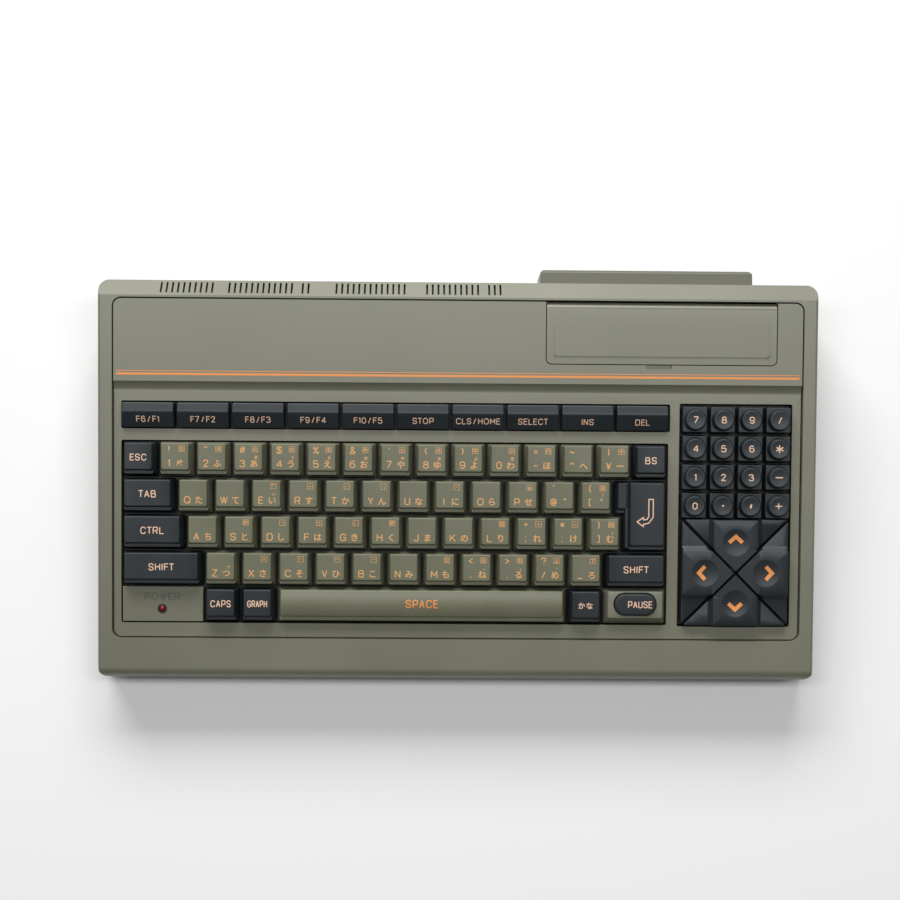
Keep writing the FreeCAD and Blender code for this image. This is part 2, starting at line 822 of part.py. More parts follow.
def function_key(number):
    """A wide roofed key: a short rear facet and a longer front facet that meet in a crease."""
    u0 = -block_half + number * function_pitch + opening_margin
    u1 = u0 + function_pitch - function_gap

    def section(inset, drop, low):
        return face_of([
            (u0 + inset, function_front + inset, low),
            (u0 + inset, function_front + inset, function_front_top - drop),
            (u0 + inset, function_crease, function_crease_top - drop),
            (u0 + inset, function_rear - inset, function_rear_top - drop),
            (u0 + inset, function_rear - inset, low),
        ])

    outer = section(0, 0, key_foot).extrude(FreeCAD.Vector(u1 - u0, 0, 0))
    length = u1 - u0 - 2 * cap_wall
    inner = section(cap_wall, cap_roof, key_foot - overrun).extrude(FreeCAD.Vector(length, 0, 0))
    stem = plunger((u0 + u1) / 2, (function_front + function_rear) / 2, function_crease_top - cap_roof)
    return outer.cut(inner).fuse(stem)


def keypad_key(column, row):
    """A square key with a raised round pad."""
    u = keypad_centre + (column - 1.5) * keypad_pitch_u
    v = keypad_top_row - row * keypad_pitch_v
    half_u = (keypad_pitch_u - keypad_gap) / 2
    half_v = (keypad_pitch_v - keypad_gap) / 2
    foot = (u - half_u, u + half_u, v - half_v, v + half_v)
    shelf = (foot[0] + keypad_shelf_inset, foot[1] - keypad_shelf_inset,
             foot[2] + keypad_shelf_inset, foot[3] - keypad_shelf_inset)
    base = frustum(foot, key_foot, shelf, keypad_shelf)
    pocket = frustum((foot[0] + cap_wall, foot[1] - cap_wall, foot[2] + cap_wall, foot[3] - cap_wall),
                     key_foot,
                     (shelf[0] + cap_wall, shelf[1] - cap_wall, shelf[2] + cap_wall, shelf[3] - cap_wall),
                     keypad_shelf - cap_roof)
    pad = post(u, v, pad_foot_radius, keypad_shelf - layer_gap, pad_top, 14, pad_radius)
    stem = plunger(u, v, keypad_shelf - cap_roof)
    return base.cut(pocket).fuse(pad).fuse(stem)


def wedge_face(reach, gap, z):
    """A right-angled triangle whose point faces the middle of the cursor block."""
    tip = gap * math.sqrt(2)
    return face_of([(-(reach - tip), reach, z), (0, tip, z), (reach - tip, reach, z)])


def cursor_key(turn):
    """One quarter of the cursor square: a low shelf, a raised five-sided pad and a thumb dish."""
    edge = cursor_reach - cursor_gap
    shelf = wedge_face(edge, cursor_gap, key_foot).extrude(FreeCAD.Vector(0, 0, cursor_shelf - key_foot))
    pocket = wedge_face(edge - cap_wall, cursor_gap + cap_wall, key_foot).extrude(
        FreeCAD.Vector(0, 0, cursor_shelf - cap_roof - key_foot))
    tip = cursor_gap * math.sqrt(2)

    def pad_outline(half, rise, z):
        return [(-half, edge, z), (-half, half + tip + rise, z), (0, tip + rise, z),
                (half, half + tip + rise, z),
                (half, edge, z)]

    pad = tapered(pad_outline(cursor_step_half, 0, cursor_shelf),
                  pad_outline(cursor_pad_half, 0, cursor_pad_top))
    dish = post(0, cursor_thumb_place, cursor_thumb_radius / 2, cursor_pad_top - cursor_thumb_depth,
                cursor_pad_top + cursor_thumb_depth, 24, cursor_thumb_radius * 3 / 2)
    stem_half = plunger_side / 2
    stem = box(-stem_half, stem_half, cursor_thumb_place - stem_half, cursor_thumb_place + stem_half,
               plunger_foot, cursor_shelf - cap_roof)
    key = shelf.cut(pocket).fuse(pad).fuse(stem).cut(dish)
    key.rotate(ORIGIN, UP, turn)
    key.translate(FreeCAD.Vector(keypad_centre, cursor_centre, 0))
    angle = math.radians(turn)
    plunger_places.append((keypad_centre - cursor_thumb_place * math.sin(angle),
                           cursor_centre + cursor_thumb_place * math.cos(angle)))
    return key


# Pause key: an olive block that stays put, with a long pill that travels in it
def pill(length, width, u, v, z0, z1, shrink=0):
    def outline(z, inset):
        points = ring_points(0, 0, width / 2 - inset, z, 24)
        run = (length - width) / 2
        return [(u + x + math.copysign(run, x), v + y, z) for x, y, z in points]

    return tapered(outline(z0, 0), outline(z1, shrink))


pause_cell = block_cell(4, 13.25, 1.75)
pause_u = (pause_cell[0] + pause_cell[1]) / 2
pause_v = (pause_cell[2] + front_slope_inset + pause_cell[3] - rear_slope_inset) / 2 + pause_pill_rearward


def pause_block():
    block, _ = cap_shell_block(pause_cell, pause_block_top)
    legs = [box(pause_cell[side] - turn * cap_wall * side, pause_cell[side] + cap_wall * (1 - side),
                pause_cell[2], pause_cell[3], frame_top + layer_gap, key_foot + seat_gap)
            for side, turn in ((0, 0), (1, 1))]
    block = block.multiFuse(legs)
    return block.cut(pill(pause_pill_length + 2 * running_gap, pause_pill_width + 2 * running_gap,
                          pause_u, pause_v, frame_top, pause_block_top + overrun))


def pause_key():
    shoulder = pause_pill_top - cap_wall / 2
    button = pill(pause_pill_length, pause_pill_width, pause_u, pause_v, key_foot, shoulder)
    button = button.fuse(pill(pause_pill_length, pause_pill_width, pause_u, pause_v, shoulder, pause_pill_top,
                              cap_wall / 2))
    return button.fuse(plunger(pause_u, pause_v, key_foot + cap_wall))


# Lamp panel and lamp
def lamp_panel():
    cell = block_cell(4, 0, 2.25)
    body = box(cell[0], cell[1], cell[2], cell[3], surround_foot, surround_top)
    feet = []
    for u in (cell[0], cell[1] - pillar_side):
        feet.append(box(u, u + pillar_side, cell[2], cell[3], frame_top + layer_gap, surround_foot))
    body = body.multiFuse(feet)
    return body.cut(post(lamp_place_u, lamp_place_v, lamp_radius + layer_gap, surround_foot - overrun,
                         overrun, 12))


def power_lamp():
    stem = post(lamp_place_u, lamp_place_v, lamp_radius, surround_foot - lamp_rise,
                surround_top + lamp_rise / 2, 12)
    dome = post(lamp_place_u, lamp_place_v, lamp_radius, surround_top + lamp_rise / 2,
                surround_top + lamp_rise,
                12, lamp_radius / 2)
    collar = post(lamp_place_u, lamp_place_v, lamp_radius + lamp_rise / 2, frame_top + layer_gap,
                  surround_foot - layer_gap, 12)
    return stem.fuse(dome).fuse(collar)


# Slot lid and well
hinge_v = panel_rear_edge - lid_roll_radius
hinge_w = -lid_roll_radius
roll_steps = 6
roll_turns = [math.pi / 2 * step / roll_steps for step in range(roll_steps + 1)]


def slot_lid():
    """A flat lid whose rear edge rolls down round the hinge line to two ears with stub pins."""
    slab = plate(lid_left, lid_right, lid_front, hinge_v + lid_corner_radius * 2, lid_corner_radius,
                 -lid_thickness, 0)
    slab = slab.cut(box(lid_left - overrun, lid_right + overrun, hinge_v, hinge_v + lid_corner_radius * 3,
                        -lid_thickness - overrun, overrun))
    outer = [(lid_left, hinge_v + lid_roll_radius * math.sin(turn),
              hinge_w + lid_roll_radius * math.cos(turn))
             for turn in roll_turns]
    inner = [(lid_left, hinge_v + lid_tail_inner * math.sin(turn), hinge_w + lid_tail_inner * math.cos(turn))
             for turn in roll_turns]
    tail = face_of(outer + inner[::-1]).extrude(FreeCAD.Vector(lid_right - lid_left, 0, 0))
    ears = [rod(u, hinge_v, hinge_w, lid_tail_inner, lid_ear_width, (1, 0, 0), 16)
            for u in (lid_left, lid_right - lid_ear_width)]
    field = plate(lid_left + lid_field_margin, lid_right - lid_field_margin, lid_front + lid_field_margin,
                  hinge_v - lid_field_rear_margin, lid_corner_radius / 2, -lid_thickness / 2, lid_field_rise)
    body = slab.multiFuse([tail, field] + ears)
    lip = box(notch_left, notch_right, lid_front - overrun, lid_front + notch_depth / 2,
              -lid_thickness - overrun, -lid_thickness / 2)
    length = boss_width + lid_gap + lid_ear_width
    pins = [true_rod(u, hinge_v, hinge_w, hinge_pin_radius, length, (1, 0, 0))
            for u in (lid_left - lid_gap - boss_width, lid_right - lid_ear_width)]
    return body.multiFuse(pins).cut(lip)


well_left = (lid_left + lid_right - well_opening_length) / 2
well_right = well_left + well_opening_length
well_front = lid_front + well_front_margin
well_rear = well_front + well_opening_width
flange_top = -panel_thickness - seat_gap
flange_foot = flange_top - well_wall
well_foot = flange_foot - well_depth


def top_slot_well():
    """The flange under the lid, its guide walls for a cartridge, and the two hinge bosses."""
    rear_limit = hinge_v - lid_roll_radius - running_gap
    flange = box(lid_left - flange_overlap, lid_right + flange_overlap, lid_front - flange_overlap,
                 rear_limit, flange_foot, flange_top)
    walls = box(well_left - well_wall, well_right + well_wall, well_front - well_wall, well_rear + well_wall,
                well_foot, flange_top)
    throat = box(well_left, well_right, well_front, well_rear, well_foot + well_wall, overrun)
    seat = box((well_left + well_right - connector_length) / 2 - layer_gap,
               (well_left + well_right + connector_length) / 2 + layer_gap,
               (well_front + well_rear - connector_width) / 2 - layer_gap,
               (well_front + well_rear + connector_width) / 2 + layer_gap, well_foot - overrun, overrun)
    arms = []
    low = hinge_w - boss_reach
    for u in (lid_left - lid_gap - boss_width, lid_right + lid_gap):
        arms.append(box(u, u + boss_width, rear_limit - overrun, hinge_v + boss_reach, low, flange_top))
    body = flange.multiFuse([walls] + arms).cut(throat).cut(seat)
    bore = true_rod(lid_left - flange_overlap - overrun, hinge_v, hinge_w,
                    hinge_pin_radius + hinge_pin_clearance,
                    lid_right - lid_left + 2 * flange_overlap + 2 * overrun, (1, 0, 0))
    return body.cut(bore)


def connector():
    """A card-edge connector standing on its solder side, drawn round its own foot centre."""
    body = box(-connector_length / 2, connector_length / 2, -connector_width / 2, connector_width / 2,
               0, connector_height)
    slit = box(-connector_slit_length / 2, connector_slit_length / 2, -connector_slit_width / 2,
               connector_slit_width / 2, connector_height - connector_slit_depth, connector_height + overrun)
    return body.cut(slit)


def slot_connectors():
    upright = connector()
    upright.translate(FreeCAD.Vector((well_left + well_right) / 2, (well_front + well_rear) / 2, well_foot))
    lying = connector()
    lying.rotate(ORIGIN, FreeCAD.Vector(1, 0, 0), -90)
    lying.translate(FreeCAD.Vector((tunnel_left + tunnel_right) / 2,
                                   rear_wall_y - rear_tunnel_depth,
                                   (tunnel_low + tunnel_high) / 2))
    return Part.makeCompound([on_deck(upright), in_case(lying)])


# Rear slot cap: a shallow cover that pushes over the sleeve
def rear_slot_cap():
    body = box(cap_left, cap_right, rear_wall_y + seat_gap, rear_wall_y + cap_reach, cap_bottom, cap_top)
    edges = [edge for edge in body.Edges if edge.BoundBox.YMin > rear_wall_y + cap_reach - layer_gap]
    body = body.makeChamfer(cap_edge, edges)
    hollow = box(cap_left + cap_shell, cap_right - cap_shell, rear_wall_y - overrun,
                 rear_wall_y + cap_reach - cap_shell, cap_bottom + cap_shell, cap_top - cap_shell)
    return body.cut(hollow)


# Keyboard layers
layer_left = -block_half - seat_gap
layer_right = keypad_centre + keypad_opening_half
layer_front = key_block_front - seat_gap
layer_rear = function_opening_rear
back_plate_top = sheet_top - sheet_thickness - membrane_thickness - 2 * layer_gap
back_plate_foot = back_plate_top - back_plate_thickness


def keyboard_frame():
    """The plate whose square holes guide the plungers, with a rim down to the back plate."""
    body = box(layer_left, layer_right, layer_front, layer_rear, back_plate_top + layer_gap, frame_top)
    body = body.cut(box(layer_left + frame_rim, layer_right - frame_rim, layer_front + frame_rim,
                        layer_rear - frame_rim, back_plate_top - overrun, frame_top - frame_thickness))
    half = plunger_side / 2 + plunger_clearance
    holes = [box(u - half, u + half, v - half, v + half, back_plate_top, frame_top + overrun)
             for u, v in plunger_places]
    return body.cut(Part.makeCompound(holes))


def contact_sheet():
    """The rubber sheet that the plungers come down on."""
    inset = frame_rim + seat_gap
    low = back_plate_top + membrane_thickness + 2 * layer_gap
    return box(layer_left + inset, layer_right - inset, layer_front + inset, layer_rear - inset,
               low, low + sheet_thickness)


def membrane_sheet():
    inset = frame_rim + seat_gap
    low = back_plate_top + layer_gap
    return box(layer_left + inset, layer_right - inset, layer_front + inset, layer_rear - inset,
               low, low + membrane_thickness)


def keyboard_back_plate():
    return box(layer_left, layer_right, layer_front, layer_rear, back_plate_foot, back_plate_top)


# Boards and power parts
def main_board():
    body = box(board_left, board_right, board_front, board_rear, board_height + layer_gap,
               board_height + board_thickness)
    chips = []
    for column in range(chip_columns):
        u = board_left + (column + 1) * (board_right - board_left) / (chip_columns + 1)
        for v, length in ((board_front + chip_row_front, chip_length),
                          (board_front + chip_row_rear, chip_length)):
            chips.append(box(u - length / 2, u + length / 2, v - chip_width / 2, v + chip_width / 2,
                             board_height + board_thickness, board_height + board_thickness + chip_height))
    holes = [post(x, y, board_post_radius + running_gap, 0, board_height + overrun)
             for x, y in keyboard_post_places]
    return body.multiFuse(chips).cut(Part.makeCompound(holes))


def power_board():
    body = box(power_board_left, power_board_right, power_board_front, board_rear,
               floor_top + layer_gap, floor_top + board_thickness)
    places = [power_board_front + (index + 1) * capacitor_pitch for index in range(2)]
    tops = [post((power_board_left + power_board_right) / 2, v, capacitor_radius,
                 floor_top + board_thickness, floor_top + board_thickness + capacitor_height) for v in places]
    return body.multiFuse(tops)


def power_transformer():
    u = (power_board_left + power_board_right) / 2
    low = floor_top + board_thickness + layer_gap
    core = box(u - transformer_width / 2, u + transformer_width / 2,
               transformer_place_v - transformer_depth / 2 + transformer_coil_overhang,
               transformer_place_v + transformer_depth / 2 - transformer_coil_overhang, low,
               low + transformer_height)
    middle = low + transformer_height / 2
    rise = transformer_coil_height / 2
    coil = box(u - transformer_width / 4, u + transformer_width / 4,
               transformer_place_v - transformer_depth / 2, transformer_place_v + transformer_depth / 2,
               middle - rise, middle + rise)
    return core.fuse(coil)


# Rear sockets
def cord_gland():
    x = case_left + gland_place
    inner = socket_wall_y - case_wall
    body = rod(x, inner - gland_length / 2, socket_height, gland_radius, gland_length + case_wall, (0, 1, 0))
    flange = rod(x, inner - layer_gap - case_wall, socket_height, gland_flange_radius, case_wall, (0, 1, 0))
    hood = rod(x, socket_wall_y + gland_length / 2, socket_height, gland_radius, gland_length / 2, (0, 1, 0),
               12, gland_bore_radius + cap_wall)
    bore = rod(x, inner - gland_length, socket_height, gland_bore_radius, 3 * gland_length, (0, 1, 0))
    return body.fuse(flange).fuse(hood).cut(bore)


switch_x = case_left + switch_place
switch_axis_y = socket_wall_y - case_wall


def power_switch():
    """The rocker: a bar with two finger facets that meet over its pivot."""
    half = switch_width / 2 - running_gap
    rise = switch_opening_height / 2 - running_gap - rocker_corner_drop
    face = face_of([
        (switch_x - half, switch_axis_y - rocker_back, socket_height - rise),
        (switch_x - half, switch_axis_y + rocker_face, socket_height - rise),
        (switch_x - half, switch_axis_y + rocker_waist, socket_height),
        (switch_x - half, switch_axis_y + rocker_face, socket_height + rise),
        (switch_x - half, switch_axis_y - rocker_back, socket_height + rise),
    ])
    body = face.extrude(FreeCAD.Vector(2 * half, 0, 0))
    body = body.cut(true_rod(switch_x - half - overrun, switch_axis_y, socket_height,
                             hinge_pin_radius + hinge_pin_clearance, 2 * half + 2 * overrun, (1, 0, 0)))
    body.rotate(FreeCAD.Vector(switch_x, switch_axis_y, socket_height), FreeCAD.Vector(1, 0, 0),
                -switch_swing / 2)
    return body


def switch_housing():
    """The bezel that holds the rocker's pivot, clipped in the rear wall."""
    half = switch_width / 2 + bezel_reach
    rise = switch_opening_height / 2 + bezel_reach
    bezel = box(switch_x - half, switch_x + half, socket_wall_y + layer_gap, socket_wall_y + bezel_thickness,
                socket_height - rise, socket_height + rise)
    inner_half = switch_width / 2
    inner_rise = switch_opening_height / 2 - layer_gap
    body = box(switch_x - inner_half - layer_gap, switch_x + inner_half + layer_gap,
               socket_wall_y - switch_depth, socket_wall_y + bezel_thickness, socket_height - inner_rise,
               socket_height + inner_rise)
    room = box(switch_x - inner_half + running_gap / 2, switch_x + inner_half - running_gap / 2,
               socket_wall_y - switch_depth + bezel_thickness, socket_wall_y + overrun,
               socket_height - inner_rise + layer_gap, socket_height + inner_rise - layer_gap)
    pin = true_rod(switch_x - inner_half, switch_axis_y, socket_height, hinge_pin_radius, 2 * inner_half,
                   (1, 0, 0))
    return bezel.fuse(body).cut(room).fuse(pin)


def rca_jack(place, back):
    x = case_left + place
    collar = rod(x, socket_wall_y - case_wall - back, socket_height, rca_radius, case_wall + back + rca_reach,
                 (0, 1, 0))
    ring = rod(x, socket_wall_y - case_wall - layer_gap - bezel_thickness, socket_height, rca_flange_radius,
               bezel_thickness, (0, 1, 0))
    bore = rod(x, socket_wall_y - case_wall, socket_height, rca_bore_radius, rca_reach + overrun, (0, 1, 0))
    return collar.fuse(ring).cut(bore)


def rf_unit():
    x = case_left + rf_place
    front = socket_wall_y - case_wall - rf_depth
    low = board_height + board_thickness + layer_gap
    can = box(x - rf_width / 2, x + rf_width / 2, front, socket_wall_y - case_wall - bezel_thickness, low,
              socket_height + rf_height / 2)
    slot_half = slider_width / 2 + slider_travel / 2 + running_gap
    track = box(x + rf_width / 4 - slot_half, x + rf_width / 4 + slot_half,
                socket_wall_y - case_wall - bezel_thickness - slider_stem, socket_wall_y,
                socket_height - slider_height / 2 - running_gap,
                socket_height + slider_height / 2 + running_gap)
    return can.cut(track).fuse(rca_jack(rf_place - rf_width / 4, bezel_thickness + overrun))


def channel_switch():
    x = case_left + rf_place + rf_width / 4 - slider_travel / 2
    return box(x - slider_width / 2, x + slider_width / 2,
               socket_wall_y - case_wall - bezel_thickness - slider_stem + running_gap,
               socket_wall_y + slider_reach,
               socket_height - slider_height / 2, socket_height + slider_height / 2)


def sound_picture_jacks():
    low = board_height + board_thickness + layer_gap
    jacks = []
    for index in range(2):
        place = av_place + index * av_pitch
        x = case_left + place
        half = rca_flange_radius
        body = box(x - half, x + half, socket_wall_y - case_wall - socket_body_depth,
                   socket_wall_y - case_wall - bezel_thickness, low, socket_height + rca_flange_radius)
        jacks.append(body.fuse(rca_jack(place, bezel_thickness + overrun)))
    return Part.makeCompound(jacks)


def tape_socket():
    x = case_left + din_place
    low = board_height + board_thickness + layer_gap
    half = din_body_side / 2
    body = box(x - half, x + half, socket_wall_y - case_wall - din_depth,
               socket_wall_y - case_wall - layer_gap,
               low, socket_height + half)
    ring = rod(x, socket_wall_y - case_wall - din_depth / 2, socket_height, din_radius,
               din_depth / 2 + case_wall,
               (0, 1, 0))
    throat = rod(x, socket_wall_y - case_wall - din_throat, socket_height, din_radius - cap_wall,
                 din_throat + case_wall + overrun, (0, 1, 0))
    core = rod(x, socket_wall_y - case_wall - din_throat, socket_height, din_core_radius, din_throat,
               (0, 1, 0))
    return body.fuse(ring).cut(throat).fuse(core)


def printer_socket():
    """A ribbon-plug socket: a metal D-shaped hood round a blade."""
    x = case_left + printer_place
    low = board_height + board_thickness + layer_gap
    half = printer_length / 2
    rise = printer_height / 2
    body = box(x - half - bezel_reach, x + half + bezel_reach, socket_wall_y - case_wall - printer_depth,
               socket_wall_y - case_wall - layer_gap, low, socket_height + rise + bezel_reach)
    hood = hood_shape(x, half, rise, 0).cut(hood_shape(x, half, rise, port_sheet))
    blade = box(x - half + 2 * bezel_reach, x + half - 2 * bezel_reach, socket_wall_y - case_wall - layer_gap,
                socket_wall_y + printer_reach - bezel_reach, socket_height - bezel_thickness,
                socket_height + bezel_thickness)
    return body.fuse(hood).fuse(blade)


def hood_shape(x, half, rise, inset):
    front = socket_wall_y - case_wall - layer_gap
    slant = rise / 3
    face = face_of([
        (x - half + inset, front, socket_height + rise - inset),
        (x + half - inset, front, socket_height + rise - inset),
        (x + half - slant - inset, front, socket_height - rise + inset),
        (x - half + slant + inset, front, socket_height - rise + inset),
    ])
    return face.extrude(FreeCAD.Vector(0, case_wall + layer_gap + printer_reach, 0))


# Joystick ports: nine pins in a D-shaped metal shell
def port_shell(inset, x0, x1, y):
    half = port_shell_length / 2 - inset
    rise = port_shell_height / 2 - inset
    slant = rise / 3
    face = face_of([
        (x0, y - half, port_height + rise), (x0, y + half, port_height + rise),
        (x0, y + half - slant, port_height - rise), (x0, y - half + slant, port_height - rise),
    ])
    return face.extrude(FreeCAD.Vector(x1 - x0, 0, 0))


def joystick_ports():
    ports = []
    inner = case_right - case_wall
    for number in range(2):
        y = port_place_front + number * port_spacing
        flange = box(inner - port_sheet - layer_gap, inner - layer_gap, y - port_flange_length / 2,
                     y + port_flange_length / 2, port_height - port_flange_height / 2,
                     port_height + port_flange_height / 2)
        body = box(inner - port_depth, inner - port_sheet, y - port_shell_length / 2,
                   y + port_shell_length / 2,
                   board_height + board_thickness + layer_gap, port_height + port_shell_height / 2)
        shell = port_shell(0, inner - port_sheet, inner - port_sheet + port_reach, y)
        shell = shell.cut(port_shell(port_sheet, inner - port_sheet, inner + port_reach, y))
        pins = []
        for row, count in ((1, 5), (-1, 4)):
            for index in range(count):
                place = y + (index - (count - 1) / 2) * pin_pitch
                pins.append(rod(inner - port_depth, place, port_height + row * pin_pitch / 2, pin_radius,
                                port_depth + port_reach - 2 * port_sheet, (1, 0, 0), 4))
        ports.append(body.fuse(flange).multiFuse([shell] + pins))
    return Part.makeCompound(ports)


# Feet and screws
def rubber_feet():
    feet = []
    for x, y in foot_places:
        foot = post(x, y, foot_radius - foot_recess, 0, foot_height, 16, foot_radius)
        feet.append(foot.fuse(post(x, y, foot_radius, foot_height, foot_height + foot_recess - layer_gap,
                                   16)))
    return Part.makeCompound(feet)


def case_screws():
    screws = []
    head_top = foot_height + case_wall
    for x, y in screw_places:
        head = post(x, y, screw_head_radius, head_top - screw_head_depth, head_top - layer_gap)
        shank = post(x, y, screw_shank_radius - layer_gap, head_top - screw_head_depth,
                     parting_height + parting_gap + screw_post_radius)
        slot = box(x - screw_head_radius, x + screw_head_radius, y - screw_slot / 2, y + screw_slot / 2,
                   head_top - screw_head_depth - overrun, head_top - screw_head_depth / 2)
        screws.append(head.fuse(shank).cut(slot))
    return Part.makeCompound(screws)


os.makedirs("parts", exist_ok=True)

# The keys come first, because their plungers set the holes and pads below them
key_nodes = {
    "escape_key": [block_key(0, 0, 1)],
    "digit_keys": key_run(0, 1, 13),
    "backspace_key": [block_key(0, 14, 1)],
    "tab_key": [block_key(1, 0, 1.5)],
    "upper_letter_keys": key_run(1, 1.5, 12),
    "control_key": [block_key(2, 0, 1.75)],
    "home_letter_keys": key_run(2, 1.75, 12),
    "return_key": [return_key()],
    "left_shift_key": [block_key(3, 0, 2.25)],
    "lower_letter_keys": key_run(3, 2.25, 11),
    "right_shift_key": [block_key(3, 13.25, 1.75)],
    "caps_key": [block_key(4, 2.25, 1)],
    "graph_key": [block_key(4, 3.25, 1)],
    "space_bar": [space_bar()],
    "kana_key": [block_key(4, 12.25, 1)],
    "pause_key": [pause_key()],
    "keypad_number_keys": [keypad_key(column, row) for row in range(4) for column in range(3)],
    "keypad_operator_keys": [keypad_key(3, row) for row in range(4)],
    "cursor_up_key": [cursor_key(0)],
    "cursor_left_key": [cursor_key(90)],
    "cursor_down_key": [cursor_key(180)],
    "cursor_right_key": [cursor_key(270)],
}
for key_number in range(10):
    key_nodes["function_key_" + str(key_number + 1)] = [function_key(key_number)]
for key_name, key_solids in key_nodes.items():
    save(key_name, on_deck(Part.makeCompound(key_solids) if len(key_solids) > 1 else key_solids[0]))

deck_nodes = {
    "top_panel": top_panel(),
    "lamp_panel": lamp_panel(),
    "power_lamp": power_lamp(),
    "pause_block": pause_block(),
    "slot_lid": slot_lid(),
    "top_slot_well": top_slot_well(),
    "keyboard_frame": keyboard_frame(),
    "contact_sheet": contact_sheet(),
    "membrane_sheet": membrane_sheet(),
    "keyboard_back_plate": keyboard_back_plate(),
}
for deck_name, deck_shape in deck_nodes.items():
    save(deck_name, on_deck(deck_shape))

case_nodes = {
    "upper_case": upper_case(),
    "lower_case": lower_case(),
    "rear_slot_cap": rear_slot_cap(),
    "main_board": main_board(),
    "power_board": power_board(),
    "power_transformer": power_transformer(),
    "cord_gland": cord_gland(),
    "power_switch": power_switch(),
    "switch_housing": switch_housing(),
    "rf_unit": rf_unit(),
    "channel_switch": channel_switch(),
    "sound_picture_jacks": sound_picture_jacks(),
    "tape_socket": tape_socket(),
    "printer_socket": printer_socket(),
    "joystick_ports": joystick_ports(),
    "rubber_feet": rubber_feet(),
    "case_screws": case_screws(),
}
for case_name, case_shape in case_nodes.items():
    save(case_name, in_case(case_shape))
save("slot_connectors", slot_connectors())
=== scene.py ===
"""A one-piece home computer with a sloping keyboard, a keypad, a cursor block and a lidded
cartridge slot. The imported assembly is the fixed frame, and each section dresses one piece of it.
Deck places are in millimetres: right of the key block's middle, rearward, and up from the deck."""

import math

import bmesh
import bpy
import numpy as np
from mathutils import Matrix, Vector


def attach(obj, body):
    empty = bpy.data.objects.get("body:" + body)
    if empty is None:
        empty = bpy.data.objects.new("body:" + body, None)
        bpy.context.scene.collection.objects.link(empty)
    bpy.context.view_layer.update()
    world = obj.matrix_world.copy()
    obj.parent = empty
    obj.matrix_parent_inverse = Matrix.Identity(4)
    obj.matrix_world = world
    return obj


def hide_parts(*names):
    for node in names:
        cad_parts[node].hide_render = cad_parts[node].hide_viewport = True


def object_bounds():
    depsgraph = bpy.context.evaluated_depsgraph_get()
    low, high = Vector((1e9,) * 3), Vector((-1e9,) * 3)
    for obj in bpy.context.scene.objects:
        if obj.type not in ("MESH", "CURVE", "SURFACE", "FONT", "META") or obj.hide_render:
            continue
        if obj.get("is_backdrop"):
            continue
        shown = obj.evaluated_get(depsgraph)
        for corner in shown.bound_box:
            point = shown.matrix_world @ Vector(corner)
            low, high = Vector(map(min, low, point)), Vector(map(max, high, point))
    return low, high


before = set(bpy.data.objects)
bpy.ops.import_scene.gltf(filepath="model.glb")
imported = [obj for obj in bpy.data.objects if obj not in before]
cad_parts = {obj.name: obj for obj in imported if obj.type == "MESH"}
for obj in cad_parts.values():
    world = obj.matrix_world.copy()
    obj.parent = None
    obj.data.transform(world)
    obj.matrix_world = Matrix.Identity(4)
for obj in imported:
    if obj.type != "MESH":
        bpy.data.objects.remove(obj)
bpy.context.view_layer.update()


# Case halves
# Two mouldings of warm grey ABS that screw together along a line low in the sides. The tool's
# spark-eroded grain and years of light and dust give them a soft sheen that isn't quite even.
millimetre = 0.001
case_light = "#7b7b6b"
case_dark = "#757565"
case_roughness = 0.34
case_grain = 0.35
case_patch = 60.0
case_edge = 0.4
abs_ior = 1.53
weld_gap = 0.003
flat_turn = math.radians(0.5)
sharp_turn = math.radians(30)
crease_turn = math.radians(35)


def linear(code):
    """A hex sRGB colour as linear light: (c + 0.055) / 1.055 to the power 2.4, or c / 12.92 if dark."""
    parts = np.array([int(code[start:start + 2], 16) for start in (1, 3, 5)]) / 255
    bright = ((parts + 0.055) / 1.055) ** 2.4
    return (*np.where(parts <= 0.04045, parts / 12.92, bright), 1.0)


def add(tree, kind, values=None, links=None):
    """Adds a node. values sets its sockets or options by name, and links joins its sockets."""
    node = tree.nodes.new(kind)
    for name, value in (values or {}).items():
        if name in node.inputs:
            node.inputs[name].default_value = value
        else:
            setattr(node, name, value)
    for name, source in (links or {}).items():
        tree.links.new(source, node.inputs[name])
    return node


def bare(name):
    """A material without nodes, and its tree."""
    material = bpy.data.materials.new(name)
    material.use_nodes = True
    material.node_tree.nodes.clear()
    return material, material.node_tree


def moulded(name, light, dark, roughness, grain, patch, depth=0.02):
    """Moulded plastic: two close colours in soft patches, a fine grain, and a sheen that varies."""
    material, tree = bare(name)
    place = add(tree, "ShaderNodeTexCoord").outputs["Object"]
    patches = add(tree, "ShaderNodeTexNoise", {"Scale": 1 / (patch * millimetre), "Detail": 4.0},
                  {"Vector": place})
    shade = add(tree, "ShaderNodeValToRGB", links={"Fac": patches.outputs["Fac"]})
    shade.color_ramp.elements[0].position = 0.3
    shade.color_ramp.elements[0].color = linear(dark)
    shade.color_ramp.elements[1].position = 0.7
    shade.color_ramp.elements[1].color = linear(light)
    sheen = add(tree, "ShaderNodeMapRange", {"To Min": roughness - 0.05, "To Max": roughness + 0.07},
                {"Value": patches.outputs["Fac"]})
    fine = add(tree, "ShaderNodeTexNoise", {"Scale": 1 / (grain * millimetre), "Detail": 2.0},
               {"Vector": place})
    bump = add(tree, "ShaderNodeBump", {"Strength": 0.25, "Distance": depth * millimetre},
               {"Height": fine.outputs["Fac"]})
    skin = add(tree, "ShaderNodeBsdfPrincipled", {"IOR": abs_ior},
               {"Base Color": shade.outputs["Color"], "Roughness": sheen.outputs["Result"],
                "Normal": bump.outputs["Normal"]})
    add(tree, "ShaderNodeOutputMaterial", links={"Surface": skin.outputs["BSDF"]})
    return material


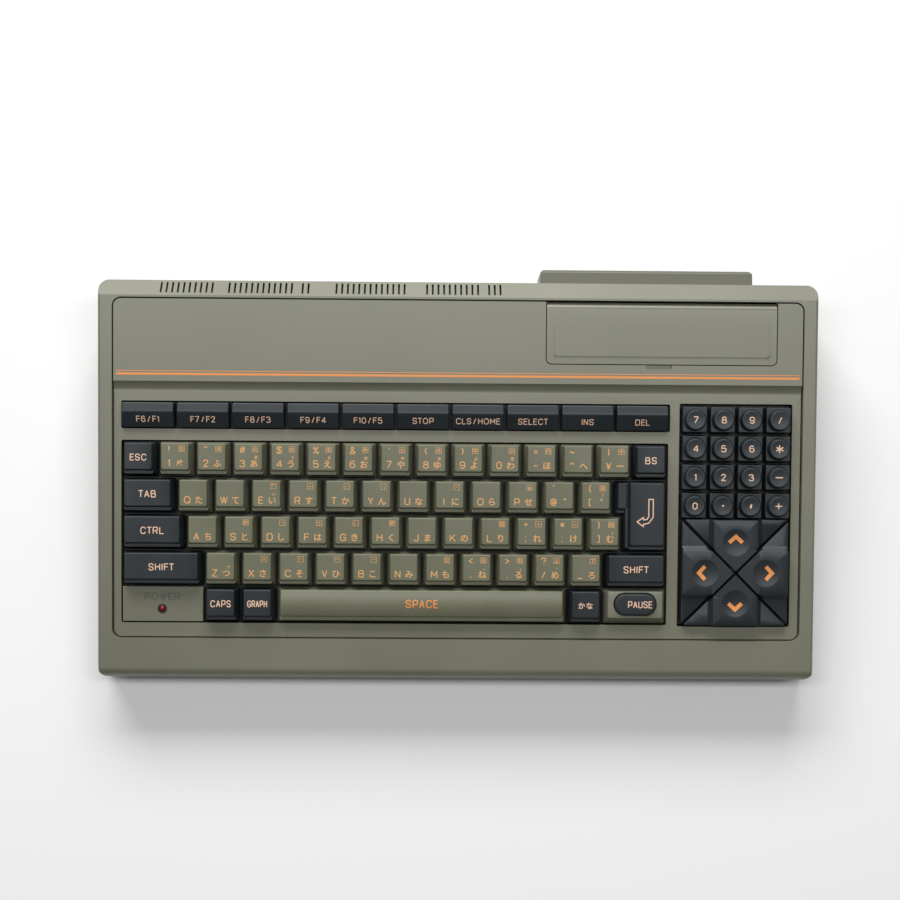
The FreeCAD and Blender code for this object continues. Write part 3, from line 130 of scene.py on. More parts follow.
def edged(node, name, material, edge, body="case"):
    """A merged copy of a moulding with its edges rounded. It stands for the plain one."""
    shape = bmesh.new()
    shape.from_mesh(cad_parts[node].data)
    bmesh.ops.remove_doubles(shape, verts=shape.verts, dist=weld_gap * millimetre)
    bmesh.ops.dissolve_limit(shape, angle_limit=flat_turn, verts=shape.verts, edges=shape.edges)
    bmesh.ops.triangulate(shape, faces=[face for face in shape.faces if len(face.verts) > 4])
    for face in shape.faces:
        face.smooth = True
        face.material_index = 0
    mesh = bpy.data.meshes.new(name)
    shape.to_mesh(mesh)
    shape.free()
    mesh.materials.clear()
    mesh.materials.append(material)
    mesh.set_sharp_from_angle(angle=sharp_turn)
    piece = bpy.data.objects.new(name, mesh)
    bpy.context.collection.objects.link(piece)
    bevel = piece.modifiers.new("rounded edges", "BEVEL")
    bevel.width = edge * millimetre
    bevel.segments = 2
    bevel.limit_method = "ANGLE"
    bevel.angle_limit = crease_turn
    bevel.miter_outer = "MITER_ARC"
    weights = piece.modifiers.new("flat faces", "WEIGHTED_NORMAL")
    weights.keep_sharp = True
    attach(piece, body)
    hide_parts(node)
    return piece


# The grain scatters the light into a soft sheen, and the patches are the uneven tint of old ABS. The
# real grain is finer than 0.1 mm and is drawn coarser so that it shows.
case_plastic = moulded("warm grey ABS, spark-eroded grain", case_light, case_dark, case_roughness,
                       case_grain, case_patch)
for half in ("upper_case", "lower_case"):
    edged(half, half + "_moulding", case_plastic, case_edge)


# Deck panel
# One ABS moulding let into the case: a raised header behind, a hollowed step in front of it and
# a recessed surround round the keys. Two printed lines run the whole way along the header.
deck_slope = math.radians(6.5)
deck_origin = (32.85, 30.731, 35.0)
deck_edge = 0.45
stripe_left = -145.5
stripe_right = 211.2
stripes = ((82.6, 0.4), (81.0, 1.2))
stripe_film = 0.05
ink_patch = 1.2
ink_thin_share = 0.82


def deck(points):
    """Deck places in mm as row places in metres: turned about X by the slope, then moved."""
    u, v, w = np.moveaxis(np.asarray(points, float), -1, 0)
    return millimetre * np.stack([
        u - deck_origin[0],
        v * math.cos(deck_slope) - w * math.sin(deck_slope) - deck_origin[1],
        v * math.sin(deck_slope) + w * math.cos(deck_slope) + deck_origin[2],
    ], -1)


def surface(name, points, faces, material, body, smooth=True, place=deck):
    """Makes a mesh of points in mm and faces, puts it in its place and lets it ride on a body."""
    mesh = bpy.data.meshes.new(name)
    mesh.from_pydata(place(points).tolist(), [], [list(face) for face in faces])
    mesh.materials.append(material)
    mesh.polygons.foreach_set("use_smooth", np.full(len(mesh.polygons), smooth))
    mesh.update()
    mesh.set_sharp_from_angle(angle=crease_turn)
    piece = bpy.data.objects.new(name, mesh)
    bpy.context.collection.objects.link(piece)
    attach(piece, body)
    return piece


def ink(name, colour, roughness=0.5):
    """Pad-printed ink: one colour, thin in places, with a dull sheen."""
    material, tree = bare(name)
    place = add(tree, "ShaderNodeTexCoord").outputs["Object"]
    wear = add(tree, "ShaderNodeTexNoise", {"Scale": 1 / (ink_patch * millimetre), "Detail": 3.0},
               {"Vector": place})
    thin = (*(ink_thin_share * part for part in linear(colour)[:3]), 1.0)
    shade = add(tree, "ShaderNodeMixRGB", {"Color1": linear(colour), "Color2": thin},
                {"Fac": wear.outputs["Fac"]})
    skin = add(tree, "ShaderNodeBsdfPrincipled", {"Roughness": roughness, "IOR": 1.5},
               {"Base Color": shade.outputs["Color"]})
    add(tree, "ShaderNodeOutputMaterial", links={"Surface": skin.outputs["BSDF"]})
    return material


edged("top_panel", "deck_panel_moulding", case_plastic, deck_edge)
# The film is flat and dull, so the lines stay one warm orange where the grain round them glints.
orange_ink = ink("orange printing ink", "#f09a52")
lines = []
for middle, width in stripes:
    near = middle - width / 2
    far = middle + width / 2
    lines.append([(stripe_left, near), (stripe_right, near), (stripe_right, far), (stripe_left, far)])
corners = np.array(lines).reshape(-1, 2)
stripe_points = np.column_stack([corners, np.full(len(corners), stripe_film)])
surface("header_stripes", stripe_points, np.arange(len(corners)).reshape(-1, 4), orange_ink, "case",
        False)


# Key caps
# Hollow ABS caps, dark for the working keys and olive for the letters. Each tapers to a top that
# is hollowed from side to side, and stands on a plunger. Legends are sublimated into the tops.
key_pitch = 19.05
key_gap = 1.0
row_units = 15
home_row = 2
top_rearward = 1.5
key_top = 4.3
key_foot = -4.2
cap_wall = 1.5
cap_roof = 1.6
side_slope = 1.96
rear_slope = 0.65
front_slope = 3.6
key_edge = 0.45
key_corner = 0.9
dish_depth = 0.6
dish_bank = 6.0
dark_light = "#1f272b"
dark_dark = "#1a2125"
olive_light = "#70715c"
olive_dark = "#6a6b55"
key_roughness = 0.42
key_grain = 0.3
key_grain_depth = 0.01
key_patch = 20.0
ink_lift = 0.06
arc_steps = 3
edge_turns = np.radians([0, 25, 50, 72, 90])
wall_parts = (0, 0.5, 0.93)
block_left = -row_units * key_pitch / 2


def cell_of(row, start, units):
    """The foot of a key: left, right, front and rear."""
    middle = (home_row - row) * key_pitch - top_rearward
    half = (key_pitch - key_gap) / 2
    left = block_left + start * key_pitch + key_gap / 2
    return (left, left + units * key_pitch - key_gap, middle - half, middle + half)


def top_of(cell):
    """The top of a key over its foot: short at the rear, long at the front."""
    return (cell[0] + side_slope, cell[1] - side_slope, cell[2] + front_slope, cell[3] - rear_slope)


def shrunk(cell, inset):
    """A rectangle with each side moved in by the inset."""
    return (cell[0] + inset, cell[1] - inset, cell[2] + inset, cell[3] - inset)


def rounded(cell, radius, steps):
    """A rounded rectangle from its front left corner's middle, anticlockwise: two half arcs and a
    straight run on each side. steps are the parts of the straight runs along u and along v."""
    sides = []
    centres = np.array([(cell[0] + radius, cell[2] + radius), (cell[1] - radius, cell[2] + radius),
                        (cell[1] - radius, cell[3] - radius), (cell[0] + radius, cell[3] - radius)])
    for side in range(4):
        start = centres[side]
        end = centres[(side + 1) % 4]
        turns = np.radians(225 + 90 * side + np.linspace(0, 45, arc_steps + 1))
        first = start + radius * np.column_stack([np.cos(turns), np.sin(turns)])
        turns = turns + math.pi / 4
        last = end + radius * np.column_stack([np.cos(turns), np.sin(turns)])
        share = np.linspace(0, 1, steps[side % 2] + 1)[1:-1, None]
        sides.append(np.vstack([first, first[-1] + share * (last[0] - first[-1]), last[:-1]]))
    return sides


def ring_faces(rings, around, close=True):
    """Quads between rings, or open rows, of points that each have the same number of points."""
    row = np.arange(rings - 1)[:, None] * around
    step = np.arange(around if close else around - 1)[None, :]
    after = (step + 1) % around
    return np.stack([row + step, row + after, row + around + after, row + around + step], -1).reshape(-1, 4)


def cap(cell, top, height, edge=key_edge, corner=key_corner, steps=(8, 8), foot=key_foot):
    """A cap, hollow from below. The wall runs straight from its foot to the top's outline, the edge
    is a quarter round, and the top is a Coons patch inside it with height(u, v) for its level."""
    hollow = np.vstack(rounded(shrunk(cell, cap_wall), corner, steps))
    lowest = height(*np.vstack(rounded(shrunk(top, cap_wall), corner, steps)).T).min()
    levels = [np.column_stack([hollow, np.full(len(hollow), level)]) for level in (lowest - cap_roof, foot)]
    for part in wall_parts:
        outline = [(1 - part) * low + part * high for low, high in zip(cell, top)]
        flat = np.vstack(rounded(outline, corner, steps))
        levels.append(np.column_stack([flat, foot + part * (height(*flat.T) - edge - foot)]))
    for turn in edge_turns:
        flat = np.vstack(rounded(shrunk(top, edge * (1 - math.cos(turn))), corner, steps))
        levels.append(np.column_stack([flat, height(*flat.T) - edge + edge * math.sin(turn)]))
    around = len(levels[0])
    points = np.vstack(levels)
    front, right, rear, left = rounded(shrunk(top, edge), corner, steps)
    bottom = np.vstack([front, right[:1]])
    upper = np.vstack([rear, left[:1]])[::-1]
    near = np.vstack([left, front[:1]])[::-1]
    far = np.vstack([right, rear[:1]])
    s = ((bottom[:, 0] - bottom[0, 0]) / (bottom[-1, 0] - bottom[0, 0]))[None, :, None]
    t = ((near[:, 1] - near[0, 1]) / (near[-1, 1] - near[0, 1]))[:, None, None]
    patch = ((1 - t) * bottom[None] + t * upper[None] + (1 - s) * near[:, None] + s * far[:, None]
             - (1 - s) * (1 - t) * bottom[0] - s * (1 - t) * bottom[-1]
             - (1 - s) * t * upper[0] - s * t * upper[-1])
    rows, columns = patch.shape[:2]
    flat = patch.reshape(-1, 2)
    index = len(points) + np.arange(rows * columns).reshape(rows, columns)
    ring = np.arange(len(points) - around, len(points))
    index[0, :] = ring[:columns]
    index[:, -1] = ring[columns - 1:columns - 1 + rows]
    index[-1, ::-1] = ring[columns + rows - 2:2 * columns + rows - 2]
    index[::-1, 0] = np.append(ring, ring[0])[2 * columns + rows - 3:2 * (columns + rows) - 3]
    inner = np.stack([index[:-1, :-1], index[:-1, 1:], index[1:, 1:], index[1:, :-1]], -1).reshape(-1, 4)
    points = np.vstack([points, np.column_stack([flat, height(*flat.T)])])
    faces = ring_faces(len(levels), around).tolist() + inner.tolist() + [list(range(around))[::-1]]
    return points, faces


def trough(top, level=key_top, depth=dish_depth):
    """A top hollowed from side to side: a parabola that is lowest at the middle."""
    middle = (top[0] + top[1]) / 2
    half = (top[1] - top[0]) / 2
    bank = min(half, dish_bank)

    def height(u, v):
        inward = np.clip((half - np.abs(u - middle)) / bank, 0, 1)
        return level - depth * (1 - (1 - inward) ** 2)
    return height


def several(shapes):
    """Joins points and faces of several shapes."""
    points = []
    faces = []
    for part_points, part_faces in shapes:
        start = sum(map(len, points))
        points.append(part_points)
        faces.extend([[start + corner for corner in face] for face in part_faces])
    return np.vstack(points), faces


def stroke(path, width, closed=False, across=2, piece_length=0.8, longest=0.85):
    """A band of even width along a path: each point moves square to the path, at half the angle
    on a corner, but no more than longest times the width. Long legs are cut into pieces so that
    the band can follow a curved top."""
    path = np.array(path, float)
    if closed:
        path = np.vstack([path, path[:1]])
    legs = [path[:1]]
    for start, end in zip(path[:-1], path[1:]):
        count = max(1, int(np.linalg.norm(end - start) / piece_length))
        legs.append(start + np.linspace(0, 1, count + 1)[1:, None] * (end - start))
    path = np.vstack(legs)
    runs = np.diff(path, axis=0)
    runs /= np.linalg.norm(runs, axis=1)[:, None]
    before = np.vstack([runs[-1:] if closed else runs[:1], runs])
    after = np.vstack([runs, runs[:1] if closed else runs[-1:]])
    square = np.column_stack([-(before + after)[:, 1], (before + after)[:, 0]])
    square /= np.linalg.norm(square, axis=1)[:, None]
    reach = width / 2 / np.abs(np.sum(square * np.column_stack([-after[:, 1], after[:, 0]]), axis=1))
    reach = np.minimum(reach, longest * width)
    shares = np.linspace(1, -1, across + 1)
    points = path[None] + shares[:, None, None] * (reach[:, None] * square)[None]
    return points.reshape(-1, 2), ring_faces(across + 1, len(path), False)[:, ::-1]


strokes = {
    "A": "005F 5FA0 2585", "B": "000F 0F6F9F986808 0868A8A06000", "C": "BBBF0F00B0B4",
    "D": "000F 0F5FBFB05000", "E": "9000000F0F9F 0888", "F": "000F0F9F 0888", "G": "BBBF0F00B0B7B767",
    "H": "000F A0AF 08A8", "I": "000F", "J": "8F87800004", "K": "000F AF05 39B0", "L": "0F000090",
    "M": "000F 0F64 64CF CFC0", "N": "000F 0FA0 A0AF", "O": "60000FCFC060", "P": "000F 0F6FAFA66606",
    "Q": "60000FCFC060 74C0", "R": "000F 0F6FAFA77707 67A0", "S": "ABAF0F08A7A00004", "T": "0FAF 5F50",
    "U": "0F0600A0A6AF", "V": "0F50 50AF", "W": "0F40 407F 7FA0 A0EF", "X": "00AF 0FA0",
    "Y": "0F57 57AF 5750", "Z": "0FAF AF00 00A0", "0": "50000FAFA050", "1": "0C3F 3F30",
    "2": "0B0F9F9900 00A0", "3": "0C0F9F9848 48A8A00003", "4": "808F 8F04 04B4", "5": "9F1F1F0808AAA00003",
    "6": "9C9F0F00A0A90905", "7": "0FAF AF30", "8": "58181F9F9858 580800A0A858", "9": "1310A0AF0F06A6AA",
    "/": "006F", "-": "0787", "^": "0A4F 4F8A", "¥": "0F57 57AF 5750 1898 1494",
    "@": "B0000FCFC4848B 64444B8B8464", "[": "4F0F0F000040", "]": "0F4F4F404000", "{": "5F2F2808 08282050",
    "}": "0F3F3858 58383000", "`": "0F3C", ";": "0A0C 1300", ":": "0002 0A0C", ",": "1300", ".": "0002",
    "<": "8C07 0782", ">": "0C87 8702", "?": "0B0F9F985855 5052", "_": "00A0", "+": "0888 4C44",
    "*": "4D43 0B85 058B", "~": "062B7398", "|": "000F", "=": "0A8A 0585", "!": "0F05 0001",
    '"': "0F0B 4F4B", "#": "104F 609F 0AAA 05A5", "$": "ABAF0F08A7A00004 5F50",
    "%": "00AF 2A0A0E4E4A2A 806064A4A080", "&": "A02B2F7F7A040080A6", "'": "0F0B", "∗": "7F70 1BE4 14EB",
    "−": "08F8", "＋": "08F8 7F71", "·": "7779", "‚": "7A7865", "(": "3F0A0530", ")": "0F3A3500",
}
stroke_steps = 15
stroke_rise = 0.004
font_scale = 1.3
font_middle = 0.49
font_swell = 0.02
blank_share = 0.15
outlines = {}


def led(controls, steps=5):
    """A smooth line led by its points. It begins and ends on the first and the last, and bends from
    the middle of each leg to the middle of the next. A point given twice makes a sharp corner."""
    joints = (controls[:-1] + controls[1:]) / 2
    joints[0] = controls[0]
    joints[-1] = controls[-1]
    if len(controls) == 2:
        return controls
    share = np.linspace(0, 1, steps + 1)[:, None]
    path = np.vstack([(1 - share) ** 2 * start + 2 * share * (1 - share) * bend + share ** 2 * end
                      for start, bend, end in zip(joints[:-1], controls[1:-1], joints[1:])])
    return path[np.append(True, np.linalg.norm(np.diff(path, axis=0), axis=1) > 0.001)]


def glyph(sign, size, weight=0.16, stretch=1.08):
    """A flat sign of a height. A letter's strokes stand on a grid of 15 steps, two digits to a
    point. Other signs come from the font, a little larger."""
    if sign in strokes:
        shapes = []
        for number, line in enumerate(strokes[sign].split()):
            controls = np.array([int(digit, 16) for digit in line], float).reshape(-1, 2) / stroke_steps
            flat, faces = stroke(led(controls * (stretch * size, size)), weight * size, False, 1, size / 3)
            shapes.append((np.column_stack([flat, np.full(len(flat), number * stroke_rise)]), faces))
        points, faces = several(shapes)
        return points - (points[:, 0].min(), size / 2, 0), faces
    if sign not in outlines:
        curve = bpy.data.curves.new("sign", "FONT")
        curve.body = sign
        curve.offset = font_swell
        curve.resolution_u = 3
        holder = bpy.data.objects.new("sign", curve)
        mesh = bpy.data.meshes.new_from_object(holder)
        flat = np.empty(len(mesh.vertices) * 3)
        mesh.vertices.foreach_get("co", flat)
        flat = font_scale * flat.reshape(-1, 3)[:, :2]
        points = np.column_stack([flat - (flat[:, 0].min(), font_middle), np.zeros(len(flat))])
        outlines[sign] = (points, [list(face.vertices) for face in mesh.polygons])
        bpy.data.meshes.remove(mesh)
        bpy.data.objects.remove(holder)
        bpy.data.curves.remove(curve)
    points, faces = outlines[sign]
    return points * size, faces


def printed(marks, height, tracking=0.2, lift=ink_lift, **style):
    """Lays words, each (text, size, u, v), on a top. Signs stand side by side with even gaps."""
    shapes = []
    for text, size, u, v in marks:
        word = []
        reach = 0.0
        for sign in text:
            if sign == " ":
                reach += blank_share * size
                continue
            points, faces = glyph(sign, size, **style)
            word.append((points + (reach, 0, 0), faces))
            reach += points[:, 0].max() + tracking * size
        for points, faces in word:
            points = points + (u - (reach - tracking * size) / 2, v, lift)
            points[:, 2] += height(*points[:, :2].T)
            shapes.append((points, faces))
    return several(shapes)


# The caps' tool is finer than the case's, so their tops take a clearer sheen along the dish. Their
# grain, too, is drawn coarser than the real one.
olive_plastic = moulded("olive ABS, satin", olive_light, olive_dark, key_roughness, key_grain, key_patch,
                        key_grain_depth)
dark_plastic = moulded("blue-black ABS, satin", dark_light, dark_dark, key_roughness, key_grain, key_patch,
                       key_grain_depth)
# Dye that has soaked into the plastic: no edge of its own, and warm on olive but pale on black.
tan_ink = ink("tan legend dye", "#eab070")
peach_ink = ink("peach legend dye", "#f6cdb0")

letter_size = 3.4
small_size = 1.9
box_size = 3.1
box_line = 0.22
left_place = 3.1
kana_place = 2.9
little_place = 3.9
graph_place = (3.5, 0.3)
low_line = 3.5
high_line = 3.1
rows = {
    "digit_keys": (0, 1, "1234567890-^¥", "ぬふあうえおやゆよわほへー", "!\"#$%&'() =~|", "  ぁぅぇぉゃゅょを   ",
                   "日月火水木金土大中小円 千"),
    "upper_letter_keys": (1, 1.5, "QWERTYUIOP@[", "たていすかんなにらせ゛゜", "          `{", "  ぃ        「",
                          "  年┬┌┐ ┘ π 目"),
    "home_letter_keys": (2, 1.75, "ASDFGHJKL;:]", "ちとしはきくまのりれけむ", "         +*}", "           」",
                         " 秒┤┼├時  田×÷回"),
    "lower_letter_keys": (3, 2.25, "ZXCVBNM,./_", "つさそひこみもねるめろ", "       <>? ", "っ      、。・ ",
                          " ×└┴┘ 分左右上下"),
}


def frame_line(u, v):
    """A thin square line round a small sign."""
    half = box_size / 2
    corners = np.array([(-half, -half), (half, -half), (half, half), (-half, half)])
    rings = [corners + (u, v), corners * (1 - 2 * box_line / box_size) + (u, v)]
    return np.vstack(rings), ring_faces(2, 4)


for node, (row, start, main, kana, shifted, little, graphs) in rows.items():
    shapes = []
    marks = []
    for index in range(len(main)):
        cell = cell_of(row, start + index, 1)
        top = top_of(cell)
        height = trough(top)
        shapes.append(cap(cell, top, height))
        middle = (top[0] + top[1]) / 2
        low = top[2] + low_line
        high = top[3] - high_line
        graph = (middle + graph_place[0], high + graph_place[1])
        legend = [(main[index], letter_size, middle - left_place, low),
                  (kana[index], letter_size, middle + kana_place, low),
                  (shifted[index], letter_size, middle - left_place, high),
                  (little[index], small_size, middle + little_place, (low + high) / 2 - 0.1),
                  (graphs[index], small_size, *graph)]
        marks.append(printed([mark for mark in legend if mark[0] != " "], height))
        if graphs[index] != " ":
            flat, faces = frame_line(*graph)
            marks.append((np.column_stack([flat, height(*flat.T) + ink_lift]), faces))
    body = surface(node.replace("keys", "caps"), *several(shapes), olive_plastic, node)
    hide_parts(node)
    surface(node.replace("keys", "legends"), *several(marks), tan_ink, node, False)

word_tracking = 0.22
word_forward = 0.4
working_keys = {
    "escape_key": (0, 0, 1, "ESC", 3.1, 0.98),
    "backspace_key": (0, 14, 1, "BS", 3.2, 1.0),
    "tab_key": (1, 0, 1.5, "TAB", 3.3, 0.98),
    "control_key": (2, 0, 1.75, "CTRL", 3.3, 0.98),
    "left_shift_key": (3, 0, 2.25, "SHIFT", 3.3, 0.98),
    "right_shift_key": (3, 13.25, 1.75, "SHIFT", 3.3, 0.98),
    "caps_key": (4, 2.25, 1, "CAPS", 3.2, 0.82),
    "graph_key": (4, 3.25, 1, "GRAPH", 3.2, 0.62),
    "kana_key": (4, 12.25, 1, "かな", 2.9, 1.0),
}
for node, (row, start, units, text, size, stretch) in working_keys.items():
    cell = cell_of(row, start, units)
    top = top_of(cell)
    height = trough(top)
    piece = surface(node.replace("key", "cap"), *cap(cell, top, height, steps=(round(8 * units), 8)),
                    dark_plastic, node)
    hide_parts(node)
    marks = printed([(text, size, (top[0] + top[1]) / 2, (top[2] + top[3]) / 2 - word_forward)], height,
                    word_tracking * stretch ** 2, stretch=stretch)
    surface(node.replace("key", "legend"), *marks, peach_ink, node, False)


# Return key
# A tall bar with a low shelf round its foot and a low wing at its upper left, one hollow moulding
# of the dark ABS on one plunger. Its legend is the outline of a bent arrow.
return_wing_top = 0.4
return_inset = 1.4
arrow_width = 0.58
arrow_scale = 1.05
arrow_shift = (-0.3, 0.4)
upper = cell_of(1, 13.5, 1.5)
lower = cell_of(2, 13.75, 1.25)
bar_cell = (lower[0] + return_inset, lower[1], lower[2], upper[3])
bar_top = top_of(bar_cell)
shelf_cell = (lower[0], lower[1], lower[2], upper[3])
shelf_top = (lower[0] + side_slope / 2, lower[1] - side_slope / 2, lower[2] + front_slope / 2,
             upper[3] - rear_slope)


def level_at(level):
    """A top that is flat at one level."""
    return lambda u, v: np.full(np.shape(u), level)


bar_height = trough(bar_top)
return_shapes = [
    cap(upper, top_of(upper), level_at(return_wing_top)),
    cap(shelf_cell, shelf_top, level_at(return_wing_top)),
    cap(bar_cell, bar_top, bar_height, steps=(8, 16)),
]
piece = surface("return_cap", *several(return_shapes), dark_plastic, "return_key")
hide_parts("return_key")
bar_middle = (bar_top[0] + bar_top[1]) / 2
arrow = np.array([(1.1, 7.2), (3.3, 7.2), (3.3, -1.6), (1.2, -4.6), (-1.5, -5.2), (-1.5, -6.4), (-4.7, -4.0),
                  (-1.5, -1.8), (-1.5, -3.0), (0.2, -2.8), (1.1, -1.4)])
arrow = arrow_scale * arrow + (bar_middle, (bar_top[2] + bar_top[3]) / 2) + arrow_shift
flat, faces = stroke(arrow, arrow_width, True)
surface("return_legend", np.column_stack([flat, bar_height(*flat.T) + ink_lift]), faces, peach_ink,
        "return_key", False)


# Space bar
# One long hollow cap of the olive ABS whose top is crowned from front to rear. It stands on three
# plungers, and its word is printed in orange.
space_top = 3.6
space_crown = 1.2
space_letter = 3.8
cell = cell_of(4, 4.25, 8)
top = top_of(cell)
crown_half = (top[3] - top[2]) / 2
crown_radius = (crown_half ** 2 + space_crown ** 2) / (2 * space_crown)
crown_middle = (top[2] + top[3]) / 2


def crowned(u, v):
    """A circle's arc from front to rear."""
    reach = np.clip(np.abs(v - crown_middle), 0, crown_half)
    return space_top - crown_radius + np.sqrt(crown_radius ** 2 - reach ** 2)


piece = surface("space_cap", *cap(cell, top, crowned, steps=(24, 12)), olive_plastic, "space_bar")
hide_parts("space_bar")
marks = printed([("SPACE", space_letter, (top[0] + top[1]) / 2, crown_middle)], crowned,
                tracking=0.16, lift=2 * ink_lift, weight=0.19, stretch=0.88)
surface("space_legend", *marks, orange_ink, "space_bar", False)


# Function keys
# Ten wide hollow caps of the dark ABS, each a short rear facet and a longer front facet that meet
# in a crease. They are pushed on to plungers, and their legends are dyed into the front facet.
function_pitch = 28.66
function_margin = 0.35
function_width = 27.16
function_front = 53.0
function_rear = 66.3
function_crease = 61.6
function_levels = (-0.6, 2.4, 0.9)
function_blunt = 0.12
function_draft = 0.15
function_letter = 2.85
function_line = 57.5
function_lift = 0.08
function_legends = ("F6 / F1", "F7 / F2", "F8 / F3", "F9 / F4", "F10 / F5", "STOP", "CLS / HOME",
                    "SELECT", "INS", "DEL")


def roofed(u, v):
    """The lower of two slopes, rounded where they meet: half their sum less half the root of their
    difference squared plus the blunting."""
    low, high, rear = function_levels
    front_part = low + (high - low) * (v - function_front) / (function_crease - function_front)
    rear_part = high + (rear - high) * (v - function_crease) / (function_rear - function_crease)
    return (front_part + rear_part - np.sqrt((front_part - rear_part) ** 2 + function_blunt)) / 2


for number, text in enumerate(function_legends):
    node = f"function_key_{number + 1}"
    left = block_left + number * function_pitch + function_margin
    cell = (left, left + function_width, function_front, function_rear)
    piece = surface(f"function_cap_{number + 1}", *cap(cell, shrunk(cell, function_draft), roofed,
                                                       steps=(6, 24)), dark_plastic, node)
    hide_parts(node)
    marks = printed([(text, function_letter, left + function_width / 2, function_line)], roofed,
                    lift=function_lift, stretch=1.0)
    surface(f"function_legend_{number + 1}", *marks, peach_ink, node, False)


# Keypad
# Sixteen square hollow caps of the dark ABS, each with a round raised pad for the fingertip. They
# are pushed on to plungers, and their signs are dyed into the pads.
keypad_pitch = (14.64, 15.0)
keypad_gap = 1.3
keypad_middle = 178.6
keypad_top_row = 59.2
keypad_shelf = 0.6
pad_foot = 5.9
pad_radius = 5.1
pad_top = 4.2
pad_dish = 0.35
pad_edge = 0.3
pad_around = 40
keypad_sign = 3.15
keypad_sign_sink = 0.25
keypad_draft = 0.3
keypad_edge = 0.35
keypad_corner = 0.7
keypad_legends = ("789/", "456∗", "123−", "0·‚＋")
keypad_sizes = {"∗": 3.9, "−": 3.6, "＋": 3.3, "·": 6.0, "‚": 6.0}


def stacked(levels):
    """A closed piece of rings, each of flat points and one level or one level per point."""
    around = len(levels[0][0])
    points = np.vstack([np.column_stack([flat, np.broadcast_to(level, around)]) for flat, level in levels])
    faces = ring_faces(len(levels), around).tolist()
    return points, faces + [list(range(around))[::-1], list(range(len(points) - around, len(points)))]


def turned(u, v, profile, around=pad_around):
    """A profile of (radius, level) pairs carried round an upright axis."""
    turns = np.linspace(0, 2 * math.pi, around, endpoint=False)
    circle = np.column_stack([np.cos(turns), np.sin(turns)])
    return stacked([(radius * circle + (u, v), level) for radius, level in profile])


def pad_level(radius):
    """The pad's shallow bowl."""
    return pad_top - pad_dish * (1 - (radius / pad_radius) ** 2)


pad_turns = np.radians([0, 30, 60, 90])
pad_profile = [(pad_foot, keypad_shelf), (pad_radius + 0.45, pad_top - 0.9)]
pad_profile += [(pad_radius + pad_edge * (math.cos(turn) - 1), pad_top + pad_edge * (math.sin(turn) - 1))
                for turn in pad_turns]
pad_profile += [(radius, pad_level(radius + pad_edge)) for radius in (4.2, 3.4, 2.4, 1.2, 0.1)]
pads = {"keypad_number_keys": range(3), "keypad_operator_keys": range(3, 4)}
for node, columns in pads.items():
    shapes = []
    marks = []
    for row in range(4):
        for column in columns:
            u = keypad_middle + (column - 1.5) * keypad_pitch[0]
            v = keypad_top_row - row * keypad_pitch[1]
            half_u = (keypad_pitch[0] - keypad_gap) / 2
            half_v = (keypad_pitch[1] - keypad_gap) / 2
            cell = (u - half_u, u + half_u, v - half_v, v + half_v)
            shapes.append(cap(cell, shrunk(cell, keypad_draft), level_at(keypad_shelf), keypad_edge,
                              keypad_corner, (4, 4)))
            shapes.append(turned(u, v, pad_profile))
            sign = keypad_legends[row][column]
            marks.append((sign, keypad_sizes.get(sign, keypad_sign), u, v))
    piece = surface(node.replace("keys", "caps"), *several(shapes), dark_plastic, node)
    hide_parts(node)
    legends = printed(marks, level_at(pad_top - keypad_sign_sink))
    surface(node.replace("keys", "legends"), *legends, peach_ink, node, False)


# Cursor keys
# Four quarters of a square, moulded in the dark ABS and pushed on to plungers. Each has a low
# shelf and a five-sided pad with a thumb dish, and an orange chevron printed in the dish.
cursor_middle = (178.6, -21.0)
cursor_reach = 28.6
cursor_gap = 0.65
cursor_shelf = 0.8
cursor_pad = 11.5
cursor_step = 14.0
cursor_pad_top = 3.2
cursor_corner = 0.6
cursor_around = 96
thumb_place = 16.0
thumb_radius = 7.0
thumb_depth = 0.8
chevron_half = 3.5
chevron_rise = 3.2
chevron_width = 2.0
chevron_out = 1.6


def filleted(corners, radius, around):
    """A polygon with round corners, sampled at equal steps along its length."""
    corners = np.array(corners, float)
    before = np.roll(corners, 1, 0) - corners
    after = np.roll(corners, -1, 0) - corners
    before /= np.linalg.norm(before, axis=1)[:, None]
    after /= np.linalg.norm(after, axis=1)[:, None]
    bends = np.linspace(0, 1, 7)[None, :, None]
    start = (corners + radius * before)[:, None]
    end = (corners + radius * after)[:, None]
    middle = corners[:, None]
    path = ((1 - bends) ** 2 * start + 2 * bends * (1 - bends) * middle + bends ** 2 * end).reshape(-1, 2)
    path = np.vstack([path, path[:1]])
    length = np.append(0, np.cumsum(np.linalg.norm(np.diff(path, axis=0), axis=1)))
    steps = np.linspace(0, length[-1], around, endpoint=False)
    return np.column_stack([np.interp(steps, length, path[:, side]) for side in (0, 1)])


def thumb_level(u, v):
    """The pad's level with its round dish, hollow as a parabola."""
    radius = np.hypot(u, v - thumb_place)
    return cursor_pad_top - thumb_depth * np.clip(1 - (radius / thumb_radius) ** 2, 0, 1)


def quarter(reach, gap):
    """A quarter's outline, anticlockwise from the point that faces the middle."""
    tip = gap * math.sqrt(2)
    return [(0, tip), (reach - tip, reach), (-(reach - tip), reach)]


def pad_outline(half, edge):
    """A pad's outline: the quarter's point, and straight sides from where it is twice half wide."""
    tip = cursor_gap * math.sqrt(2)
    return [(0, tip), (half, half + tip), (half, edge), (-half, edge), (-half, half + tip)]


